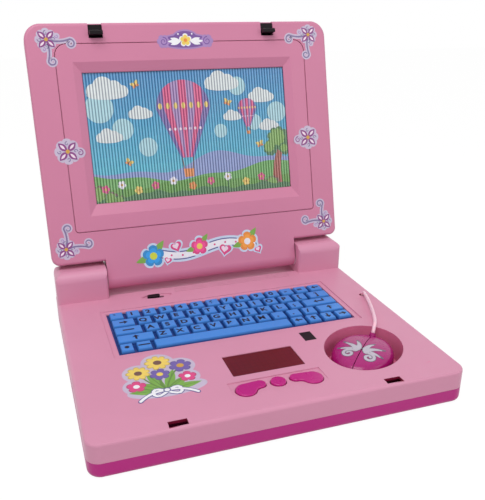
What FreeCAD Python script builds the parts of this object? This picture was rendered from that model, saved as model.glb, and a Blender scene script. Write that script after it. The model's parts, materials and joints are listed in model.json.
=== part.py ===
"""Toy laptop computer: a hinged lid with a ribbed picture screen on a two-part base.

Millimetres. +Z is up, the front edge faces -Y, +X is to the right of a child using it.
The origin is the centre of the base's footprint on the floor. The lid stands open.
"""
import FreeCAD
import Part
import math
import os

from FreeCAD import Vector

# Base shells
BASE_WIDTH = 262.0
BASE_DEPTH = 226.2
BASE_TOP = 26.0
PARTING_Z = 11.6
BASE_CORNER = 9.0
TOP_ROUND = 2.5
BOTTOM_ROUND = 4.0
WALL = 2.4
LIP_HEIGHT = 2.0
LIP_WALL = 1.2
SEAM_CLEARANCE = 0.15
CUT_MARGIN = 1.0
SAME_HEIGHT = 1e-6

# Lid hinge
AXIS_FROM_BACK = 16.2
AXIS_RISE = 9.9
OPEN_ANGLE = 104.7
CLOSED_GAP = 1.6
BLOCK_WIDTH = 42.5
BLOCK_SIDE_INSET = 0.5
BLOCK_FRONT_REACH = 14.3
BLOCK_FRONT_ROUND = 8.0
BLOCK_EDGE_ROUND = 2.5
BLOCK_HOLLOW_ROUND = 0.5
BLOCK_RADIUS = 18.5
BLOCK_SIDE_ROUND = 7.0
BLOCK_WALL = 3.0
NOTCH_CLEARANCE = 0.6
BARREL_SIDE_GAP = 1.0
TROUGH_CLEARANCE = 2.3
PIN_RADIUS = 3.0
PIN_RUNNING_CLEARANCE = 0.06
PIN_IN_BARREL = 23.0
PIN_IN_BLOCK = 14.0
PIN_BOSS_WALL = 3.2
WASHER_RADIUS = 6.4
WASHER_CLEARANCE = 0.05

# Lid shells
LID_THICKNESS = 18.6
LID_OVERHANG = 3.6
LID_WALL = 2.2
LID_TOP_CORNER = 13.5
LID_FOOT_CORNER = 6.5
LID_FRONT_ROUND = 2.5
LID_BACK_ROUND = 5.0
LID_PARTING_DEPTH = 4.2
HEEL_RISE = 2.8

# Screen, measured up the lid from the hinge axis
BEZEL_SIDE_MARGIN = 21.8
BEZEL_FOOT = 44.9
BEZEL_HEAD_MARGIN = 15.9
BEZEL_TOP_CORNER = 10.0
BEZEL_FOOT_CORNER = 3.0
BEZEL_GAP = 0.35
BEZEL_CHAMFER = 0.5
LEDGE_WIDTH = 4.0
LEDGE_THICKNESS = 1.8
FUNNEL_SIDE_MARGIN = 13.7
FUNNEL_FOOT = 58.0
FUNNEL_HEAD_MARGIN = 14.7
FUNNEL_DEPTH = 3.6
SCREEN_SIDE_MARGIN = 6.8
SCREEN_FOOT = 67.7
SCREEN_HEAD_MARGIN = 8.3
SCREEN_BORDER = 5.0
LENS_THICKNESS = 1.0
LENS_RIB_PITCH = 2.5
LENS_RIB_HEIGHT = 0.3
CARD_THICKNESS = 0.6
CLAMP_THICKNESS = 1.6
CLAMP_RIM = 4.0

# Latches on the lid's top edge and their slots in the base
LATCH_FROM_SIDE = 56.3
LATCH_WIDTH = 10.6
LATCH_SLOT_CLEARANCE = 0.8
SLOT_FROM_FRONT = 2.4
SLOT_DEPTH = 5.8
LATCH_FRONT_PLAY = 0.6
LATCH_STEM = 2.6
LATCH_BARB = 1.1
LATCH_REACH = 6.4
LATCH_PIVOT_DEPTH = 6.0
LATCH_HUB_RADIUS = 2.3
LATCH_PIN_RADIUS = 1.0
LATCH_RIB = 1.6
LATCH_SIDE_GAP = 0.4
LATCH_TAB_THICKNESS = 3.2
LATCH_TAB_SETBACK = 0.7
LATCH_TAB_BELOW_EDGE = 1.6

# Keyboard
KEY_PITCH = 13.5
KEY_COLUMNS = 14
KEY_ROWS = 5
KEY_GAP = 1.6
KEY_DRAFT = 1.1
KEY_RISE = 0.9
KEYBOARD_FROM_FRONT = 99.2
KEYBOARD_PLAY = 0.8
KEYBOARD_FLANGE = 2.2
KEYBOARD_PLATE = 1.8
KEYBOARD_RECESS_BORDER = 5.0
KEYBOARD_RECESS_DEPTH = 0.8
LIFT_GAP = 0.2
DOME_RADIUS = 4.0
DOME_CLEARANCE = 1.5
KEY_DOME_COLUMNS = 4
SPACE_KEY_UNITS = 8.25

# Front buttons
BUTTON_RISE = 1.0
BUTTON_PLAY = 0.4
BUTTON_FLANGE = 1.2
BUTTON_FLANGE_THICKNESS = 1.3
BUTTON_EDGE_ROUND = 0.8
BUTTON_STEM_RADIUS = 2.0
BUTTON_STEM_LENGTH = 2.2
BUTTON_DOME_RADIUS = 3.2
BEAN_OUTER = (24.0, 25.1)
BEAN_OUTER_RADIUS = 7.2
BEAN_INNER = (13.0, 29.0)
BEAN_INNER_RADIUS = 4.2
BEAN_BAY_RADIUS = 5.0
ROUND_BUTTON_FROM_FRONT = 28.2
ROUND_BUTTON_RADIUS = 5.4
PANEL_HALF_WIDTH = 33.5
PANEL_FROM_FRONT = 19.2
PANEL_DEPTH = 17.5
PANEL_SINK = 0.9
GROOVE_WIDTH = 0.8
GROOVE_DEPTH = 0.5

# Palm corners that slope down to the front, from a crease across each
CREASE_AT_SIDE = 36.5
CREASE_AT_FRONT = 80.0
CREASE_DROP = 0.9

# Display window and status lens
WINDOW_HALF_WIDTH = 26.6
WINDOW_FROM_FRONT = 43.6
WINDOW_DEPTH = 27.3
WINDOW_CORNER = 0.8
WINDOW_SINK = 0.6
WINDOW_FLANGE = 2.0
WINDOW_FLANGE_THICKNESS = 1.4
INSET_CLEARANCE = 0.1
LED_RADIUS = 2.5
LED_ROUND = 2.0
LED_COUNT = 5
LED_BOARD_GAP = 3.0
STATUS_X = 45.1
STATUS_FROM_FRONT = 80.4
STATUS_WIDTH = 9.2
STATUS_DEPTH = 13.0

# Power switch
SWITCH_X = -48.3
SWITCH_FROM_BACK = 37.5
SWITCH_DISH_HALF_LENGTH = 13.0
SWITCH_DISH_HALF_WIDTH = 4.4
SWITCH_DISH_DEPTH = 1.3
SWITCH_KNOB_LENGTH = 10.8
SWITCH_KNOB_WIDTH = 5.2
SWITCH_KNOB_CORNER = 2.4
SWITCH_KNOB_SINK = 0.2
SWITCH_TRAVEL = 6.0
SWITCH_STEM_LENGTH = 5.0
SWITCH_STEM_WIDTH = 3.0
SWITCH_STEM_PLAY = 0.4
SWITCH_BODY_LENGTH = 20.0
SWITCH_BODY_WIDTH = 8.0
SWITCH_BODY_HEIGHT = 6.0
SWITCH_POST = 3.0

# Fine ribs in front of the lid's barrel
RIB_LEFT_X = -31.0
RIB_RIGHT_X = 78.0
RIB_FROM_BACK = 34.2
RIB_SPACING = 2.6
RIB_COUNT = 4

# Mouse and its well
WELL_FROM_SIDE = 53.4
WELL_FROM_FRONT = 52.2
WELL_TURN = 45.0
WELL_HALF_LENGTH = 34.5
WELL_HALF_WIDTH = 28.4
WELL_WALL = 2.2
WELL_FLOOR_Z = 6.0
WELL_FLOOR_THICKNESS = 1.8
MOUSE_HALF_LENGTH = 28.5
MOUSE_HALF_WIDTH = 22.5
MOUSE_REST_GAP = 0.1
MOUSE_SKIRT = 2.5
MOUSE_HEIGHT = 20.3
MOUSE_CROWN_RADIUS = 95.0
MOUSE_EDGE_ROUND = 7.0
MOUSE_WALL = 2.0
MOUSE_SEAM = 0.5
MOUSE_TRAY_INSET = 0.5
MOUSE_TRAY_THICKNESS = 2.0
MOUSE_PIN_RADIUS = 1.5
MOUSE_PIN_BACK = 18.0
MOUSE_PIN_HEIGHT = 5.8
MOUSE_PIN_HALF_LENGTH = 13.0
MOUSE_LUG_WIDTH = 2.2
MOUSE_EYE_INNER = 2.5
MOUSE_EYE_OUTER = 8.5
MOUSE_EYE_RADIUS = 3.2
MOUSE_BOARD = (24.0, 22.0)
MOUSE_BOARD_THICKNESS = 1.2
MOUSE_CLICK_SIZE = 6.0
MOUSE_CLICK_HEIGHT = 4.0
MOUSE_CLICK_X = 7.0
MOUSE_CLICK_CLEARANCE = 1.6
MOUSE_PLUNGER_RADIUS = 2.0
BOOT_RADIUS = 2.4
BOOT_FOOT = (0.0, 22.5, 11.5)
BOOT_RISE_ANGLE = 62.0
BOOT_LENGTH = 8.0
BOOT_SLOT_CLEARANCE = 0.5
BOOT_SLOT_TRAVEL = 2.2

# Mouse cord; its middle points are from the right side, from the front and above the base's top
CORD_RADIUS = 1.4
CORD_HOLE_FROM_SIDE = 9.5
CORD_HOLE_FROM_FRONT = 133.7
CORD_HOLE_RADIUS = 2.8
CORD_ANCHOR_RADIUS = 4.6
CORD_ANCHOR_HEIGHT = 6.0
CORD_START_SINK = 3.0
CORD_BOOT_BEND = 4.0
CORD_ARC_SHARE = 0.45
CORD_MIDDLE = [
    (9.5, 133.7, 0.8),
    (10.4, 130.6, 3.8),
    (12.6, 123.2, 4.6),
    (16.8, 109.2, 4.6),
    (21.4, 96.2, 4.4),
    (26.4, 84.2, 4.4),
    (29.8, 77.0, 4.2),
]

# Electronics
BOARD_THICKNESS = 1.6
BOARD_TOP_Z = 17.0
MAIN_BOARD_HALF_WIDTH = 88.0
MAIN_BOARD_MARGIN = 3.5
FRONT_BOARD_HALF_WIDTH = 36.0
FRONT_BOARD_FROM_FRONT = 14.2
FRONT_BOARD_DEPTH = 60.0
BOARD_POST_RADIUS = 3.0
BOARD_POST_INSET = 5.0
CHIP_RADIUS = 7.0
CHIP_HEIGHT = 1.6
SPEAKER_X = 40.0
SPEAKER_FROM_FRONT = 133.2
SPEAKER_RADIUS = 20.0
SPEAKER_RIM = 2.0
SPEAKER_CONE_HEIGHT = 4.0
SPEAKER_MAGNET_RADIUS = 11.0
SPEAKER_MAGNET_HEIGHT = 4.5
GRILLE_SLOT_WIDTH = 2.0
GRILLE_SLOT_SPACING = 5.0
GRILLE_SLOTS = 7

# Battery bay
CELL_RADIUS = 7.1
CELL_LENGTH = 50.0
CELL_NIPPLE_RADIUS = 2.7
CELL_NIPPLE_HEIGHT = 1.0
CELL_COUNT = 3
CELL_PITCH = 14.8
CELL_DOOR_GAP = 0.2
BAY_FROM_SIDE = 45.0
BAY_FROM_FRONT = 46.2
BAY_END_ROOM = 3.4
BAY_SIDE_ROOM = 1.0
BAY_TOP_ROOM = 0.6
BAY_WALL = 1.6
CONTACT_PLATE = 0.5
CONTACT_WIDTH = 11.0
CONTACT_SPRING_RADIUS = 4.0
DOOR_THICKNESS = 2.0
DOOR_CLEARANCE = 0.25
DOOR_MARGIN = 1.5
DOOR_TONGUE = 8.0

# Fasteners
BOSS_RADIUS = 3.6
BOSS_SOCKET_WALL = 1.0
SCREW_RADIUS = 1.4
SCREW_HEAD_RADIUS = 2.8
SCREW_HEAD_HEIGHT = 1.6
SCREW_GRIP = 8.0
HEAD_CLEARANCE = 0.4
BASE_SCREW_FRONT = (9.0, 10.0)
BASE_SCREW_MIDDLE = (11.0, 94.2)
BASE_SCREW_BACK = (20.0, 46.0)
BASE_JOINT_Z = 6.0
LID_SCREW_FROM_SIDE = 11.0
LID_SCREW_LOW = 32.0
LID_SCREW_FROM_EDGE = 21.5
LID_HEAD_SINK = 0.6

# Worked-out values
FRONT_Y = -BASE_DEPTH / 2
BACK_Y = BASE_DEPTH / 2
AXIS_FROM_FRONT = BASE_DEPTH - AXIS_FROM_BACK
AXIS_Y = FRONT_Y + AXIS_FROM_FRONT
AXIS_Z = BASE_TOP + AXIS_RISE
BLOCK_OUTER_X = BASE_WIDTH / 2 - BLOCK_SIDE_INSET
BLOCK_INNER_X = BLOCK_OUTER_X - BLOCK_WIDTH
BLOCK_REACH = AXIS_FROM_BACK
LID_WIDTH = BASE_WIDTH
WALL_UNDER = BASE_TOP - WALL
FLOOR_Z = WALL
LID_FACE = AXIS_RISE - CLOSED_GAP
LID_REAR = LID_FACE - LID_THICKNESS
LID_EDGE = AXIS_FROM_FRONT + LID_OVERHANG
LID_NOTCH = BLOCK_RADIUS + NOTCH_CLEARANCE
LID_SPLIT = -LID_PARTING_DEPTH
BARREL_HALF = BLOCK_INNER_X - BARREL_SIDE_GAP
HEEL_RADIUS = LID_THICKNESS / 2
HEEL_CENTRE = LID_FACE - HEEL_RADIUS
TROUGH_RADIUS = HEEL_RADIUS + abs(HEEL_CENTRE) + TROUGH_CLEARANCE
BEZEL_BACK = LID_FACE - LID_WALL
BEZEL_HALF_WIDTH = LID_WIDTH / 2 - BEZEL_SIDE_MARGIN
BEZEL_HEAD = LID_EDGE - BEZEL_HEAD_MARGIN
FUNNEL_HALF_WIDTH = BEZEL_HALF_WIDTH - FUNNEL_SIDE_MARGIN
FUNNEL_HEAD = BEZEL_HEAD - FUNNEL_HEAD_MARGIN
SCREEN_HALF_WIDTH = FUNNEL_HALF_WIDTH - SCREEN_SIDE_MARGIN
SCREEN_HEAD = FUNNEL_HEAD - SCREEN_HEAD_MARGIN
LENS_FACE = LID_FACE - FUNNEL_DEPTH
LENS_BACK = LENS_FACE - LENS_THICKNESS
CARD_BACK = LENS_BACK - CARD_THICKNESS
CLAMP_BACK = CARD_BACK - CLAMP_THICKNESS
KEYBOARD_HALF_WIDTH = KEY_COLUMNS * KEY_PITCH / 2
KEYBOARD_BACK = KEYBOARD_FROM_FRONT + KEY_ROWS * KEY_PITCH
PLATE_TOP = WALL_UNDER - LIFT_GAP
PLATE_UNDER = PLATE_TOP - KEYBOARD_PLATE
KEY_TOP = BASE_TOP + KEY_RISE
BOARD_UNDER = BOARD_TOP_Z - BOARD_THICKNESS
MOUSE_FLOOR = WELL_FLOOR_Z + MOUSE_REST_GAP
WELL_X = BASE_WIDTH / 2 - WELL_FROM_SIDE
CORD_HOLE_X = BASE_WIDTH / 2 - CORD_HOLE_FROM_SIDE
SWITCH_FROM_FRONT = BASE_DEPTH - SWITCH_FROM_BACK
RIB_FROM_FRONT = BASE_DEPTH - RIB_FROM_BACK
LATCH_X = LID_WIDTH / 2 - LATCH_FROM_SIDE
LATCH_PIVOT_Z = LID_FACE - LATCH_PIVOT_DEPTH
LATCH_NOSE_TOP = AXIS_FROM_FRONT - SLOT_FROM_FRONT - LATCH_FRONT_PLAY
LATCH_STEM_TOP = LATCH_NOSE_TOP - LATCH_BARB
LATCH_PIVOT_HEIGHT = LATCH_STEM_TOP - LATCH_STEM / 2
BAY_X = BAY_FROM_SIDE - BASE_WIDTH / 2
BAY_HALF_LENGTH = CELL_LENGTH / 2 + BAY_END_ROOM
BAY_HALF_WIDTH = (CELL_COUNT - 1) * CELL_PITCH / 2 + CELL_RADIUS + BAY_SIDE_ROOM
DOOR_TOP = DOOR_THICKNESS
CELL_Z = DOOR_TOP + CELL_DOOR_GAP + CELL_RADIUS
BAY_CEILING = CELL_Z + CELL_RADIUS + BAY_TOP_ROOM

# Widths of the keys in each row, back row first, in key pitches
KEY_LAYOUT = [
    [1.0] * 14,
    [1.5] + [1.0] * 11 + [1.5],
    [1.75] + [1.0] * 10 + [2.25],
    [2.25] + [1.0] * 10 + [1.75],
    [0.9, 1.0, SPACE_KEY_UNITS, 0.95, 0.95, 0.95, 1.0],
]


def from_front(distance):
    """Y of a place given as its distance behind the base's front edge."""
    return FRONT_Y + distance


def block(x0, x1, y0, y1, z0, z1):
    return Part.makeBox(x1 - x0, y1 - y0, z1 - z0, Vector(x0, y0, z0))


def post(radius, x, y, z0, z1):
    return Part.makeCylinder(radius, z1 - z0, Vector(x, y, z0))


def rod_along_x(radius, x0, x1, y, z):
    return Part.makeCylinder(radius, x1 - x0, Vector(x0, y, z), Vector(1, 0, 0))


def rounded_outline(x0, x1, y0, y1, front_radius, back_radius):
    """Closed wire of a rectangle with one radius on its front and one on its back corners."""
    half = math.sqrt(0.5)
    corners = [
        (x0, y0, front_radius, (1, 1), (0, 1), (1, 0)),
        (x1, y0, front_radius, (-1, 1), (-1, 0), (0, 1)),
        (x1, y1, back_radius, (-1, -1), (0, -1), (-1, 0)),
        (x0, y1, back_radius, (1, -1), (1, 0), (0, -1)),
    ]
    edges = []
    stops = []
    for x, y, r, inward, first, last in corners:
        centre = Vector(x + inward[0] * r, y + inward[1] * r, 0)
        start = Vector(x + first[0] * r, y + first[1] * r, 0)
        middle = centre - Vector(inward[0] * r * half, inward[1] * r * half, 0)
        end = Vector(x + last[0] * r, y + last[1] * r, 0)
        stops.append((start, middle, end))
    for index, (start, middle, end) in enumerate(stops):
        edges.append(Part.Arc(start, middle, end).toShape())
        edges.append(Part.makeLine(end, stops[(index + 1) % len(stops)][0]))
    return Part.Wire(edges)


def rounded_plate(x0, x1, y0, y1, z0, z1, front_radius, back_radius=None):
    if back_radius is None:
        back_radius = front_radius
    outline = rounded_outline(x0, x1, y0, y1, front_radius, back_radius)
    outline.translate(Vector(0, 0, z0))
    return Part.Face(outline).extrude(Vector(0, 0, z1 - z0))


def edges_at_height(shape, z):
    return [e for e in shape.Edges if all(abs(v.Z - z) < SAME_HEIGHT for v in e.Vertexes)
            and abs(e.BoundBox.ZLength) < SAME_HEIGHT]


def round_edges_at(shape, z, radius):
    return shape.makeFillet(radius, edges_at_height(shape, z))


def ellipse_prism(half_x, half_y, z0, z1):
    """Upright elliptical prism about the Z axis."""
    if half_x >= half_y:
        curve = Part.Ellipse(Vector(0, 0, z0), half_x, half_y).toShape()
    else:
        curve = Part.Ellipse(Vector(0, 0, z0), half_y, half_x).toShape()
        curve.rotate(Vector(0, 0, z0), Vector(0, 0, 1), 90)
    return Part.Face(Part.Wire([curve])).extrude(Vector(0, 0, z1 - z0))


def tapered_key(x0, x1, y0, y1, z0, z1, draft):
    """Key cap that narrows towards its top on all four sides."""
    foot = Part.makePolygon([Vector(x0, y0, z0), Vector(x1, y0, z0), Vector(x1, y1, z0),
                             Vector(x0, y1, z0), Vector(x0, y0, z0)])
    head = Part.makePolygon([Vector(x0 + draft, y0 + draft, z1), Vector(x1 - draft, y0 + draft, z1),
                             Vector(x1 - draft, y1 - draft, z1), Vector(x0 + draft, y1 - draft, z1),
                             Vector(x0 + draft, y0 + draft, z1)])
    return Part.makeLoft([foot, head], True, True)


def fuse_all(shapes):
    first = shapes[0]
    return first.multiFuse(shapes[1:]).removeSplitter()


def mirrored_x(shape):
    return shape.mirror(Vector(0, 0, 0), Vector(1, 0, 0))


def both_sides(shape):
    return [shape, mirrored_x(shape)]


def stand_lid(shape):
    """Move a piece from the lid's own frame to its open place on the base.

    In that frame the lid lies on its back: X across, Y up the lid from the hinge axis, Z to its face.
    """
    placed = shape.copy()
    placed.rotate(Vector(0, 0, 0), Vector(1, 0, 0), 180.0 - OPEN_ANGLE)
    placed.translate(Vector(0, AXIS_Y, AXIS_Z))
    return placed


def seat_mouse(shape):
    """Move a piece from the mouse's own frame, nose to +Y, to its place in the well."""
    placed = shape.copy()
    placed.rotate(Vector(0, 0, 0), Vector(0, 0, 1), -WELL_TURN)
    placed.translate(Vector(WELL_X, from_front(WELL_FROM_FRONT), 0))
    return placed


def mouse_point(x, y, z):
    turn = math.radians(-WELL_TURN)
    return Vector(WELL_X + x * math.cos(turn) - y * math.sin(turn),
                  from_front(WELL_FROM_FRONT) + x * math.sin(turn) + y * math.cos(turn), z)


# Base

def hinge_block(inset, z_foot):
    """Right hinge block, or with an inset the hollow inside it."""
    x0 = BLOCK_INNER_X + inset
    x1 = BLOCK_OUTER_X - inset
    front = AXIS_Y - BLOCK_FRONT_REACH + inset
    head = AXIS_Z + BLOCK_REACH - inset
    swept = rod_along_x(BLOCK_RADIUS - inset, x0, x1, AXIS_Y, AXIS_Z)
    below = block(x0, x1, AXIS_Y - BLOCK_RADIUS, AXIS_Y + BLOCK_RADIUS, z_foot, AXIS_Z)
    round_brow = BLOCK_FRONT_ROUND - inset
    beyond = 2 * BLOCK_FRONT_ROUND
    brow = rounded_outline(front, BACK_Y + beyond, z_foot - beyond, head, round_brow, round_brow)
    brow.rotate(Vector(0, 0, 0), Vector(1, 1, 1), 120)
    brow.translate(Vector(x0, 0, 0))
    profile = Part.Face(brow).extrude(Vector(x1 - x0, 0, 0))
    plan = rounded_plate(x0, x1, front, BACK_Y - inset, z_foot, head,
                         max(BLOCK_EDGE_ROUND - inset, BLOCK_HOLLOW_ROUND))
    footprint = rounded_plate(-BASE_WIDTH / 2 + inset, BASE_WIDTH / 2 - inset, FRONT_Y + inset,
                              BACK_Y - inset, z_foot, head, BASE_CORNER - inset)
    side = rounded_outline(-BLOCK_OUTER_X + inset, BLOCK_OUTER_X - inset, z_foot - BLOCK_SIDE_ROUND,
                           head, BLOCK_SIDE_ROUND - inset, BLOCK_SIDE_ROUND - inset)
    side.rotate(Vector(0, 0, 0), Vector(1, 0, 0), 90)
    side.translate(Vector(0, BACK_Y, 0))
    soft_shoulder = Part.Face(side).extrude(Vector(0, -BASE_DEPTH, 0))
    body = swept.fuse(below)
    for limit in (profile, plan, footprint, soft_shoulder):
        body = body.common(limit)
    return body


def hinge_blocks():
    solid = hinge_block(0.0, BASE_TOP - 2 * TOP_ROUND)
    hollow = hinge_block(BLOCK_WALL, PARTING_Z)
    boss_end = BLOCK_INNER_X + PIN_IN_BLOCK
    boss = rod_along_x(PIN_RADIUS + PIN_BOSS_WALL, BLOCK_INNER_X, boss_end, AXIS_Y, AXIS_Z)
    bore = rod_along_x(PIN_RADIUS, BLOCK_INNER_X - CUT_MARGIN, boss_end, AXIS_Y, AXIS_Z)
    return solid, hollow, boss, bore


def well_prism(offset, z0, z1):
    return seat_mouse(ellipse_prism(WELL_HALF_WIDTH + offset, WELL_HALF_LENGTH + offset, z0, z1))


def keyboard_opening(offset, z0, z1):
    return block(-KEYBOARD_HALF_WIDTH - offset, KEYBOARD_HALF_WIDTH + offset,
                 from_front(KEYBOARD_FROM_FRONT) - offset, from_front(KEYBOARD_BACK) + offset, z0, z1)


def window_prism(offset, z0, z1):
    return rounded_plate(-WINDOW_HALF_WIDTH - offset, WINDOW_HALF_WIDTH + offset,
                         from_front(WINDOW_FROM_FRONT) - offset,
                         from_front(WINDOW_FROM_FRONT + WINDOW_DEPTH) + offset,
                         z0, z1, WINDOW_CORNER + offset)


def status_prism(offset, z0, z1):
    return block(STATUS_X - STATUS_WIDTH / 2 - offset, STATUS_X + STATUS_WIDTH / 2 + offset,
                 from_front(STATUS_FROM_FRONT) - STATUS_DEPTH / 2 - offset,
                 from_front(STATUS_FROM_FRONT) + STATUS_DEPTH / 2 + offset, z0, z1)


def rim(centre, radius, angle):
    return centre + Vector(math.cos(angle), math.sin(angle), 0) * radius


def bean_prism(side, offset, z0, z1):
    """Bean-shaped prism beside the round button: two round ends, a straight back and a hollowed front edge."""
    outer = Vector(BEAN_OUTER[0], from_front(BEAN_OUTER[1]), z0)
    inner = Vector(BEAN_INNER[0], from_front(BEAN_INNER[1]), z0)
    outer_radius = BEAN_OUTER_RADIUS + offset
    inner_radius = BEAN_INNER_RADIUS + offset
    bay_radius = BEAN_BAY_RADIUS - offset
    span = (inner - outer).Length
    heading = math.atan2(inner.y - outer.y, inner.x - outer.x)
    back = heading - math.acos((outer_radius - inner_radius) / span)
    to_outer = bay_radius + outer_radius
    to_inner = bay_radius + inner_radius
    along = (span ** 2 + to_outer ** 2 - to_inner ** 2) / (2 * span)
    towards_bay = heading + math.acos(along / to_outer)
    bay = rim(outer, to_outer, towards_bay)
    outer_front = rim(outer, outer_radius, towards_bay)
    inner_front = inner + (bay - inner) * (inner_radius / to_inner)
    hollow = bay + ((outer_front + inner_front) * 0.5 - bay).normalize() * bay_radius
    outer_back = rim(outer, outer_radius, back)
    inner_back = rim(inner, inner_radius, back)
    outline = Part.Wire([
        Part.makeLine(outer_back, inner_back),
        Part.Arc(inner_back, rim(inner, inner_radius, heading), inner_front).toShape(),
        Part.Arc(inner_front, hollow, outer_front).toShape(),
        Part.Arc(outer_front, rim(outer, outer_radius, heading + math.pi), outer_back).toShape(),
    ])
    prism = Part.Face(outline).extrude(Vector(0, 0, z1 - z0))
    return prism if side > 0 else mirrored_x(prism)


def round_prism(offset, z0, z1):
    return post(ROUND_BUTTON_RADIUS + offset, 0, from_front(ROUND_BUTTON_FROM_FRONT), z0, z1)


def sloped_panel():
    """Cut for the panel round the buttons: deepest at its back edge, flush at its front."""
    x = -PANEL_HALF_WIDTH
    y0 = from_front(PANEL_FROM_FRONT)
    y1 = y0 + PANEL_DEPTH
    above = BASE_TOP + CUT_MARGIN
    side = Part.makePolygon([Vector(x, y0, BASE_TOP), Vector(x, y1, BASE_TOP - PANEL_SINK),
                             Vector(x, y1, above), Vector(x, y0, above), Vector(x, y0, BASE_TOP)])
    return Part.Face(side).extrude(Vector(2 * PANEL_HALF_WIDTH, 0, 0))


def palm_corner():
    """Cut that slopes the right front corner of the top down from a straight crease."""
    x = BASE_WIDTH / 2
    at_side = Vector(x, from_front(CREASE_AT_SIDE), BASE_TOP)
    at_front = Vector(x - CREASE_AT_FRONT, FRONT_Y, BASE_TOP)
    corner = Vector(x, FRONT_Y, BASE_TOP - CREASE_DROP)
    above = [Vector(place.x, place.y, BASE_TOP + CUT_MARGIN) for place in (at_side, at_front, corner)]
    low = [at_side, at_front, corner]
    faces = [Part.Face(Part.makePolygon(low + low[:1])), Part.Face(Part.makePolygon(above + above[:1]))]
    for index, place in enumerate(low):
        after = (index + 1) % len(low)
        faces.append(Part.Face(Part.makePolygon([place, low[after], above[after], above[index], place])))
    return Part.Solid(Part.Shell(faces))


def switch_slot():
    """Oval dish with a straight slot in its floor, for the power knob and its stem."""
    y = from_front(SWITCH_FROM_FRONT)
    dish = ellipse_prism(SWITCH_DISH_HALF_LENGTH, SWITCH_DISH_HALF_WIDTH,
                         BASE_TOP - SWITCH_DISH_DEPTH, BASE_TOP + CUT_MARGIN)
    half = (SWITCH_STEM_LENGTH + SWITCH_TRAVEL) / 2 + SWITCH_STEM_PLAY
    wide = SWITCH_STEM_WIDTH / 2 + SWITCH_STEM_PLAY
    slot = block(-half, half, -wide, wide, WALL_UNDER - CUT_MARGIN, BASE_TOP)
    cut = dish.fuse(slot)
    cut.translate(Vector(SWITCH_X, y, 0))
    return cut


def fine_ribs():
    grooves = []
    for index in range(RIB_COUNT):
        y = from_front(RIB_FROM_FRONT + index * RIB_SPACING)
        grooves.append(block(RIB_LEFT_X, RIB_RIGHT_X, y, y + GROOVE_WIDTH,
                             BASE_TOP - GROOVE_DEPTH, BASE_TOP + CUT_MARGIN))
    return grooves


def latch_slot():
    half = LATCH_WIDTH / 2 + LATCH_SLOT_CLEARANCE
    return block(LATCH_X - half, LATCH_X + half, from_front(SLOT_FROM_FRONT),
                 from_front(SLOT_FROM_FRONT + SLOT_DEPTH), WALL_UNDER - CUT_MARGIN, BASE_TOP + CUT_MARGIN)


def base_screw_places():
    """X and Y of the screws: given from the side and the front edge, the last pair from the back."""
    half = BASE_WIDTH / 2
    rows = [(half - BASE_SCREW_FRONT[0], from_front(BASE_SCREW_FRONT[1])),
            (half - BASE_SCREW_MIDDLE[0], from_front(BASE_SCREW_MIDDLE[1])),
            (half - BASE_SCREW_BACK[0], BACK_Y - BASE_SCREW_BACK[1])]
    return [(side * x, y) for x, y in rows for side in (1, -1)]


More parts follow.
